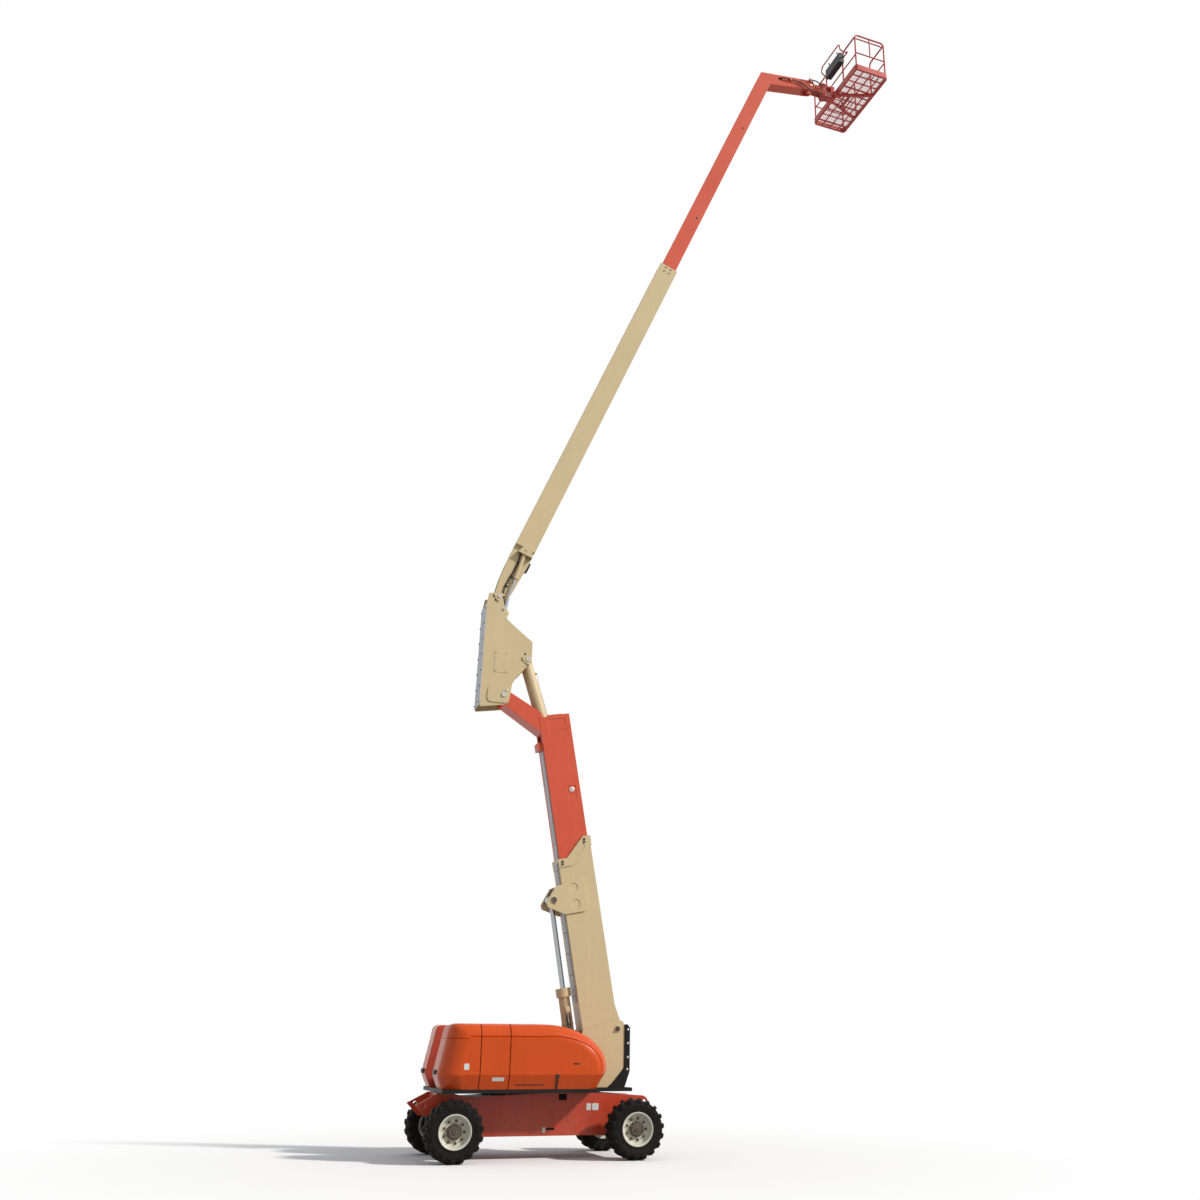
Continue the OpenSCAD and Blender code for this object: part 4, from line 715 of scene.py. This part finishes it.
# Label films: thin white plastic, blank, stuck flat on the hoods' sides and on the frame. Their
# corners are clipped so that they don't lift.
label_white = paint("label_white", linear(214, 214, 212), gloss=0.3, drift=0.3, edge_amount_worn_and_lit=0.2,
                    edge_colour_worn_and_lit=(0.4, 0.4, 0.4, 1))
film_t, film_sunk = 0.0012, -0.002


def label(bm, hand, middle, wide, high, lean=0.0):
    """A film on a side face, its upper edge leaning out by an angle."""
    x0, y0, z0 = middle
    c, d = math.cos(math.radians(lean)), math.sin(math.radians(lean))
    cut, a, b = 0.12 * min(wide, high), wide / 2, high / 2
    outline = [(cut - a, -b), (a - cut, -b), (a, cut - b), (a, b - cut), (a - cut, b), (cut - a, b),
               (-a, b - cut), (-a, cut - b)]
    slab(bm, outline, lambda u, v, out: Vector((x0 + u, hand * (y0 + v * d + out * c), z0 + v * c - out * d)),
         film_sunk, film_t)


hood_films, frame_films = bmesh.new(), bmesh.new()
for hand in (-1, 1):
    label(hood_films, hand, (-1.384, shell_half, 1.456), 0.085, 0.098)
    label(hood_films, hand, (-0.852, 1.1213, 1.262), 0.200, 0.062, lean=22.9)
    label(frame_films, hand, (0.862, 0.520, 0.807), 0.078, 0.112)
    label(frame_films, hand, (0.979, 0.520, 0.807), 0.115, 0.112)
    label(frame_films, hand, (0.089, 0.520, 0.453), 0.050, 0.080)
piece("hood_films", hood_films, label_white, "turntable")
piece("frame_films", frame_films, label_white, "chassis")


# Two cream plates on the turntable carry the tower's foot pin; a black folded cover is bolted to
# their front edges.
# The lighter cream given for the plate edges is a painted highlight along them.
boom_cream = paint("boom_cream", linear(208, 187, 146), gloss=0.40, drift=0.2, edge_amount_worn_and_lit=0.9, edge=0.012,
                   edge_colour_worn_and_lit=linear(238, 226, 198), coat=0.1)
wear_finish(boom_cream, "tower_support", "tower_base", "tower_bracket", "tower_collar", "upright",
            "main_base", "tower_lift_barrel", "level_barrel", "main_lift_barrel", "master_barrel")
bright_zinc, tree, surface = shader("bright_zinc")
place = add(tree, "TexCoord").outputs["Object"]
spangle = add(tree, "TexVoronoi", {"Vector": place, "Scale": 160.0}).outputs["Distance"]
smut = noise(tree, place, 30.0, 4.0)
feed(tree, surface, {"Base Color": blend(tree, smut, linear(150, 150, 150), linear(214, 212, 206)),
                     "Roughness": remap(tree, spangle, 0.0, 0.8, 0.25, 0.5), "Metallic": 0.8})
dark_steel = paint("dark_steel", linear(88, 84, 80), gloss=0.45, drift=0.9, edge_amount_worn_and_lit=0.5,
                   edge_colour_worn_and_lit=(0.35, 0.34, 0.32, 1))


def side_bolts(name, spot, places, out, size, material, body):
    """A piece of like bolts on both side faces, at a distance out from the machine's middle."""
    bm = bmesh.new()
    for hand in (-1, 1):
        for x, z in places:
            bolt(bm, spot(x, z, hand * out), (0, hand, 0), size)
    piece(name, bm, material, body)


foot_pin = (1.433, 2.075)
cover_places = [(1.616, 2.060), (1.616, 1.830), (1.616, 1.600), (1.608, 1.400)]
side_bolts("cover_bolts", on_side(1), cover_places, 0.305, 0.026, bright_zinc, "turntable")
side_bolts("foot_pin_bolts", on_side(1), [foot_pin], 0.297, 0.056, dark_steel, "turntable")


# The tower's lift cylinder carries its valve block on its side, with a steel pipe up to the head
# and two hoses that run down into the slot.
def tube(bm, points, radius, sides=12):
    """A round bar along points, capped at both ends."""
    points = [Vector(p) for p in points]
    side = None
    rings = []
    for i, point in enumerate(points):
        run = (points[min(i + 1, len(points) - 1)] - points[max(i - 1, 0)]).normalized()
        if side is None:
            side = run.orthogonal().normalized()
        side = (side - run * side.dot(run)).normalized()
        other = run.cross(side)
        turns = [math.tau * k / sides for k in range(sides)]
        rings.append([bm.verts.new(point + radius * (math.cos(a) * side + math.sin(a) * other))
                      for a in turns])
    for low, high in zip(rings, rings[1:]):
        for k in range(sides):
            j = (k + 1) % sides
            bm.faces.new((low[k], low[j], high[j], high[k]))
    bm.faces.new(rings[0][::-1])
    bm.faces.new(rings[-1])


def eased(points, steps=8):
    """A smooth line through points."""
    points = [Vector(p) for p in points]
    ends = [2 * points[0] - points[1]] + points + [2 * points[-1] - points[-2]]
    line = []
    for a, b, c, d in zip(ends, ends[1:], ends[2:], ends[3:]):
        for k in range(steps):
            t = k / steps
            bend, twist = 2 * a - 5 * b + 4 * c - d, 3 * b - a - 3 * c + d
            line.append(0.5 * ((2 * b) + (c - a) * t + bend * t ** 2 + twist * t ** 3))
    return line + [points[-1]]


def along(start, heading):
    """Turns distances along a tilted piece and up from it, and a Y, into the machine's frame."""
    c, s = math.cos(math.radians(heading)), math.sin(math.radians(heading))
    return lambda x, z, y: Vector((start[0] + x * c - z * s, y, start[1] + x * s + z * c))


def between(pin, eye):
    """The same along a cylinder, from its pin to its eye."""
    return along(pin, math.degrees(math.atan2(eye[1] - pin[1], eye[0] - pin[0])))


def pipe(bm, spot, points, radius):
    """A pipe or hose eased through points that are given in a piece's own frame."""
    tube(bm, eased([spot(*p) for p in points]), radius)


lift_pin, lift_eye = (0.735, 1.300), (0.21161, 4.25940)
on_lift = between(lift_pin, lift_eye)
lift_run = on_lift(1, 0, 0) - on_lift(0, 0, 0)
block_low, block_high, block_half, block_in, block_out = 1.060, 1.150, 0.038, -0.088, -0.150
bm = bmesh.new()
slab(bm, oblong(block_low, block_high, -block_half, block_half), on_lift, block_in, block_out, bevel=0.004)
pipe(bm, on_lift, [(block_high, 0.005, -0.125), (1.20, 0.005, -0.127), (1.26, 0.012, -0.122),
                   (1.315, 0.014, -0.117), (1.335, 0.014, -0.112)], 0.009)
for x in (0.55, 0.86):
    lathe(bm, oblong(0.100, 0.106, -0.014, 0.014), stand(on_lift(x, 0, 0), lift_run), steps=40, closed=True)
piece("lift_valve", bm, boom_cream, "tower_cylinder")
bm = bmesh.new()
for z, y in ((-0.020, -0.128), (0.020, -0.132)):
    lathe(bm, [(0, 0), (0.016, 0), (0.016, 0.028), (0.012, 0.034), (0, 0.034)],
          stand(on_lift(block_low, z, y), -lift_run), steps=6)
piece("lift_fittings", bm, bright_zinc, "tower_cylinder")
bm = bmesh.new()
hose_start, lift_hose_r = block_low - 0.02, 0.013
pipe(bm, on_lift, [(hose_start, -0.020, -0.128), (0.96, -0.024, -0.130), (0.86, -0.020, -0.126),
                   (0.70, -0.016, -0.121), (0.55, -0.016, -0.121), (0.40, -0.010, -0.114),
                   (0.26, 0.0, -0.090)], lift_hose_r)
pipe(bm, on_lift, [(hose_start, 0.020, -0.132), (0.96, 0.030, -0.132), (0.86, 0.024, -0.126),
                   (0.70, 0.018, -0.121), (0.55, 0.018, -0.121), (0.40, 0.022, -0.112),
                   (0.26, 0.026, -0.088)], lift_hose_r)
piece("lift_hoses", bm, hose_rubber, "tower_cylinder")


# The tower's base tube is folded and seam welded; its mouth is ringed by bolted collar plates and
# its bracket holds the lift cylinder's upper pin.
on_tower = along(foot_pin, 100.4)
collar_places = [(3.374, 0.079), (3.322, 0.087), (3.021, 0.547), (2.974, 0.554)]
side_bolts("collar_bolts", on_tower, collar_places, 0.229, 0.030, dark_steel, "tower")
pin_cap = [(0, -0.004), (0.050, -0.004), (0.050, 0.005), (0.046, 0.009), (0.012, 0.009), (0.009, 0.004),
           (0, 0.004)]
bm = bmesh.new()
for hand in (-1, 1):
    lathe(bm, pin_cap, stand(on_tower(2.369, 0.807, hand * 0.257), (0, hand, 0)), steps=36)
    bolt(bm, on_tower(2.300, 0.812, hand * 0.243), (0, hand, 0), 0.020)
piece("bracket_pin_ends", bm, dark_steel, "tower")


# Galvanised strips guard the hoses on the tower's back, screwed down along both edges. The fly's
# screws are sunk flush, because that strip slides into the base tube.
zinc_strip = paint("zinc_strip", linear(184, 190, 198), gloss=0.45, drift=0.8, edge_amount_worn_and_lit=0.2)
wear_finish(zinc_strip, "tower_conduit", "fly_conduit", "upright_cover")
strip_rear = on_tower(0, 1, 0) - on_tower(0, 0, 0)
strip_edges = (-0.120, 0.040)
bm = bmesh.new()
for i in range(7):
    for y in strip_edges:
        bolt(bm, on_tower(0.660 + 0.37 * i, 0.639, y), strip_rear, 0.016)
piece("tower_strip_screws", bm, dark_steel, "tower")
flush_screw = [(0, -0.003), (0.011, -0.003), (0.011, 0.0004), (0.009, 0.0010), (0.003, 0.0010),
               (0.002, -0.001), (0, -0.001)]
bm = bmesh.new()
for i in range(5):
    for y in strip_edges:
        lathe(bm, flush_screw, stand(on_tower(3.360 + 0.40 * i, 0.602, y), strip_rear), steps=20)
piece("fly_strip_screws", bm, dark_steel, "fly")


# The fly tubes, the gooseneck and the rotary drive are welded steel in a satin red-orange. A turned
# cover closes the grease point on each side of the tower's fly.
def side_discs(name, spot, places, out, profile, steps, material, body):
    """A piece of like turned discs on both side faces, at a distance out from the machine's middle."""
    bm = bmesh.new()
    for hand in (-1, 1):
        for x, z in places:
            lathe(bm, profile, stand(spot(x, z, hand * out), (0, hand, 0)), steps=steps)
    piece(name, bm, material, body)


# The lighter red given for the plate edges is a painted highlight along them.
boom_red = paint("boom_red", linear(210, 84, 56), gloss=0.42, drift=0.25, edge_amount_worn_and_lit=0.8, edge=0.012,
                 edge_colour_worn_and_lit=linear(236, 152, 124), coat=0.1)
wear_finish(boom_red, "tower_fly", "main_fly", "rotator")
grease_cover = [(0, -0.002), (0.048, -0.002), (0.048, 0.004), (0.043, 0.007), (0.020, 0.007),
                (0.018, 0.003), (0, 0.003)]
side_discs("grease_covers", on_tower, [(4.316, 0.164)], 0.191, grease_cover, 32, bright_zinc, "fly")


# The upright stays plumb: two cream side plates, pins held by keeper plates, plugged holes beside
# them, and a bolted cover down its back.
upright_face = 0.227
upright_pin, boom_pin = (-0.88613, 7.98037), (-1.06413, 9.92637)
level_pin, master_pin = (-0.44713, 8.71837), (-0.95913, 9.67537)


def pin_end(bm, pin, y, radius):
    """A turned pin end with a chamfer and a centre drilling."""
    hand = math.copysign(1, y)
    profile = [(0, -0.006), (radius, -0.006), (radius, 0.006), (radius - 0.005, 0.011), (0.010, 0.011),
               (0.007, 0.006), (0, 0.006)]
    lathe(bm, profile, stand((pin[0], y, pin[1]), (0, hand, 0)), steps=36)


def keeper(bm, pin, y, lean, reach):
    """A flat bar bolted beside a pin's end so that the pin can't turn or slide."""
    hand = math.copysign(1, y)
    c, s = math.cos(math.radians(lean)), math.sin(math.radians(lean))

    def spot(u, v, out):
        return Vector((pin[0] + u * c - v * s, y + hand * out, pin[1] + u * s + v * c))

    outline = [(-0.085, -0.022), (0.085, -0.022), (0.095, -0.010), (0.095, 0.018), (0.085, 0.026),
               (-0.085, 0.026), (-0.095, 0.018), (-0.095, -0.010)]
    bar_t = 0.012
    slab(bm, [(u, reach + v) for u, v in outline], spot, 0.0, bar_t, bevel=0.002)
    for u in (-0.065, 0.065):
        bolt(bm, spot(u, reach, bar_t), (0, hand, 0), 0.024)


bm = bmesh.new()
for hand in (-1, 1):
    pin_end(bm, upright_pin, hand * (upright_face + 0.026), 0.047)
    pin_end(bm, boom_pin, hand * (upright_face + 0.014), 0.042)
    pin_end(bm, level_pin, hand * (upright_face + 0.014), 0.047)
    keeper_bolt = (upright_pin[0] + 0.047, hand * (upright_face + 0.016), upright_pin[1] + 0.087)
    bolt(bm, keeper_bolt, (0, hand, 0), 0.030)
pin_end(bm, master_pin, -upright_face - 0.014, 0.026)
piece("upright_pin_ends", bm, bright_zinc, "upright")
bm = bmesh.new()
for hand in (-1, 1):
    keeper(bm, boom_pin, hand * upright_face, 125, 0.066)
    keeper(bm, level_pin, hand * upright_face, 140, 0.070)
piece("pin_keepers", bm, boom_cream, "upright")
hole_places = [(-1.160, 9.907), (-1.135, 9.839), (-0.511, 8.821), (-0.563, 8.726)]
hole_plug = [(0, -0.002), (0.020, -0.002), (0.020, 0.002), (0.016, 0.005), (0, 0.006)]
side_discs("hole_plugs", on_side(1), hole_places, upright_face, hole_plug, 24, moulded_black, "upright")
cover_x, cover_foot, cover_lean = upright_pin[0] - 0.448 - 0.013, -0.238, 0.0350 / 2.025
bm = bmesh.new()
for i in range(7):
    dz = -0.170 + 0.31 * i
    for y in (-0.195, 0.195):
        bolt(bm, (cover_x + (dz - cover_foot) * cover_lean, y, upright_pin[1] + dz), (-1, 0, 0.0173), 0.022)
piece("upright_cover_bolts", bm, dark_steel, "upright")
panel_places = [(upright_pin[0] + dx, upright_pin[1] + dz) for dx, dz in oblong(-0.185, 0.027, 0.456, 0.817)]
side_bolts("panel_screws", on_side(1), panel_places, upright_face + 0.004, 0.016, boom_cream, "upright")


# Cylinder rods are steel bars, ground and hard-chromed, that slide in the barrels' glands. A film
# of oil leaves their gloss a little uneven.
rod_chrome, tree, surface = shader("rod_chrome")
smear = noise(tree, add(tree, "TexCoord").outputs["Object"], 9.0, 4.0)
feed(tree, surface, {"Base Color": linear(168, 171, 175), "Metallic": 1.0,
                     "Roughness": remap(tree, smear, 0.3, 0.7, 0.20, 0.36)})
wear_finish(rod_chrome, "tower_lift_rod", "level_rod", "main_lift_rod", "master_rod")


# The levelling cylinder below the upright has a brass fitting near its eye and a thin pipe strapped
# along its front.
level_eye = (0.34918, 6.30179)
on_level = between(level_pin, level_eye)
brass = paint("brass", linear(176, 140, 72), gloss=0.35, drift=0.6, edge_amount_worn_and_lit=0.4, edge_colour_worn_and_lit=(0.5, 0.38, 0.16, 1))
bm = bmesh.new()
fitting = stand(on_level(0.27, 0.112, -0.03), on_level(0, 1, 0) - on_level(0, 0, 0))
lathe(bm, [(0, 0), (0.022, 0), (0.022, 0.020), (0.016, 0.024), (0.016, 0.036), (0, 0.036)], fitting, steps=6)
piece("level_fitting", bm, brass, "level_cylinder")
bm = bmesh.new()
pipe_line = [(0.27, 0.140), (0.33, 0.150), (0.40, 0.134), (0.48, 0.126), (0.70, 0.126), (1.00, 0.126),
             (1.18, 0.124), (1.22, 0.112)]
pipe(bm, on_level, [(x, z, -0.03) for x, z in pipe_line], 0.008)
piece("level_pipe", bm, bright_zinc, "level_cylinder")


# The main boom's base tube: a boxed tube on a plated foot. A hose is strapped along the foot, a
# rest pad sits under it, and screws hold the wear pads at the mouth.
on_boom = along(boom_pin, 67.45)
foot_line = [(1.040, 0.004), (0.984, -0.003), (0.837, -0.030), (0.631, -0.031), (0.390, -0.016),
             (0.222, -0.023), (0.103, -0.066), (0.050, -0.098)]
bm = bmesh.new()
pipe(bm, on_boom, [(x, z, -0.120) for x, z in foot_line], 0.014)
piece("foot_hose", bm, hose_rubber, "main_boom")
bm = bmesh.new()
for x, z in ((0.860, -0.026), (0.520, -0.025), (0.300, -0.018)):
    clip = oblong(x - 0.014, x + 0.014, z - 0.045, z + 0.020)
    slab(bm, clip, on_boom, -0.104, -0.137, bevel=0.003)
piece("hose_clips", bm, moulded_black, "main_boom")
pad_top, pad_low, pad_half = -0.2300, -0.2748, 0.080
bm = bmesh.new()
slab(bm, [(0.790, pad_top), (0.975, pad_top), (0.965, pad_low), (0.800, pad_low)], on_boom,
     -pad_half, pad_half, bevel=0.004)
piece("rest_pad", bm, moulded_black, "main_boom")
mouth_places = [(x, z) for x in (8.790, 8.900) for z in (-0.090, 0.030)]
side_bolts("mouth_screws", on_boom, mouth_places, 0.165, 0.022, dark_steel, "main_boom")


# The main fly and its gooseneck: two plugged service holes in the tube's side, a short hose from
# the neck's oval hole to the clip, and screws in both clips.
fly_plug = [(0, -0.003), (0.027, -0.003), (0.027, 0.002), (0.022, 0.006), (0, 0.007)]
side_discs("fly_plugs", on_boom, [(13.701, -0.087), (10.596, -0.087)], 0.131, fly_plug, 24, moulded_black,
           "main_boom_fly")
neck_hole = Vector((5.2913, 0, 24.3304))
bm = bmesh.new()
pipe(bm, lambda x, y, z: neck_hole + Vector((x, y, z)),
     [(-0.030, -0.100, 0.002), (-0.012, -0.132, 0.003), (0.030, -0.158, 0.006), (0.090, -0.168, 0.012),
      (0.180, -0.168, 0.018), (0.262, -0.168, 0.020)], 0.0148)
piece("neck_hose", bm, hose_rubber, "main_boom_fly")
bm = bmesh.new()
for x, z in ((5.559, 24.350), (6.099, 24.508)):
    bolt(bm, (x, -0.190, z), (0, -1, 0), 0.018)
piece("clip_screws", bm, bright_zinc, "main_boom_fly")


# The platform turns on a rotary drive. Its floor is bars and slats with fine wires welded in between,
# all of it in a deeper red than the booms.
swivel_x, deck_z, deck_turn = 6.51132, 24.34140, math.radians(3.5)


def on_deck(x, y, z):
    """A point given in the platform's frame, which stands on its swivel axis at the floor's underside."""
    c, s = math.cos(deck_turn), math.sin(deck_turn)
    return Vector((swivel_x + x * c - y * s, x * s + y * c, deck_z + z))


# The lighter red given for the edges is a painted highlight along them.
platform_red = paint("platform_red", linear(188, 58, 46), gloss=0.40, drift=0.45, edge_amount_worn_and_lit=0.3,
                     edge_colour_worn_and_lit=linear(214, 110, 92), coat=0.1)
wear_finish(platform_red, "platform_support", "platform_floor", "rail_near", "rail_far", "rail_inner",
            "rail_outer")
deck_near, deck_far, deck_half, end_bar, side_bar = 0.340, 1.250, 1.065, 0.050, 0.041
wire, wire_pitch, wire_low = 0.0045, 0.032, 0.0150
bm = bmesh.new()
for i in range(int((2 * deck_half - 2 * end_bar) / wire_pitch)):
    y = -deck_half + end_bar + wire_pitch * (i + 0.5)
    bar = oblong(deck_near + side_bar, deck_far - side_bar, y - wire / 2, y + wire / 2)
    slab(bm, bar, on_deck, wire_low, wire_low + wire)
piece("deck_mesh", bm, platform_red, "platform", crease=20.0)
tip_end = [(0, -0.003), (0.034, -0.003), (0.034, 0.005), (0.030, 0.008), (0, 0.008)]
side_discs("tip_pin_ends", on_side(1), [(tip_pin.x, tip_pin.z)], 0.143, tip_end, 32, bright_zinc, "rotator")
bm = bmesh.new()
for x, y in circle(8, 0.072, start=0.5):
    for z, out in ((0.2243, 1), (-0.1663, -1)):
        bolt(bm, on_deck(x, y, z), (0, 0, out), 0.018)
piece("drive_bolts", bm, dark_steel, "platform")


# The platform's console is a moulded black housing hung on the rails, with two levers in rubber
# boots, a row of toggles and a red stop button on its sloped face.
console_black = paint("console_black", linear(38, 40, 46), gloss=0.42, drift=0.4, edge_amount_worn_and_lit=0.2,
                      edge_colour_worn_and_lit=(0.12, 0.12, 0.12, 1))
wear_finish(console_black, "control_console")
console_x, console_y, console_z = 0.2157, -0.1775, 0.920
slope = math.radians(20)


def on_console(u, v, out=0.0):
    """A point over the console's sloped face: u across the depth, v along its length."""
    return on_deck(console_x + u * math.cos(slope) - out * math.sin(slope), console_y + v,
                   console_z + u * math.sin(slope) + out * math.cos(slope))


face_out = on_console(0, 0, 1) - on_console(0, 0, 0)
lever_line = [(0, -0.002), (0.038, -0.002), (0.038, 0.004), (0.032, 0.010), (0.034, 0.016), (0.026, 0.022),
              (0.027, 0.028), (0.018, 0.036), (0.008, 0.042), (0.008, 0.080), (0.017, 0.084), (0.019, 0.105),
              (0.012, 0.118), (0, 0.120)]
toggle_line = [(0, -0.001), (0.011, -0.001), (0.011, 0.004), (0.004, 0.007), (0.005, 0.024), (0, 0.026)]
bm = bmesh.new()
for v in (-0.200, 0.200):
    lathe(bm, lever_line, stand(on_console(0.075, v), face_out), steps=24)
for i in range(6):
    lathe(bm, toggle_line, stand(on_console(0.050, -0.105 + 0.042 * i), face_out), steps=12)
piece("console_levers", bm, moulded_black, "platform")
stop_red = paint("stop_red", linear(196, 28, 24), gloss=0.3, drift=0.3, edge_amount_worn_and_lit=0.1)
stop_line = [(0, -0.001), (0.014, -0.001), (0.014, 0.012), (0.024, 0.014), (0.024, 0.022), (0.018, 0.029),
             (0, 0.031)]
bm = bmesh.new()
lathe(bm, stop_line, stand(on_console(0.105, 0.0), face_out), steps=28)
piece("stop_button", bm, stop_red, "platform")
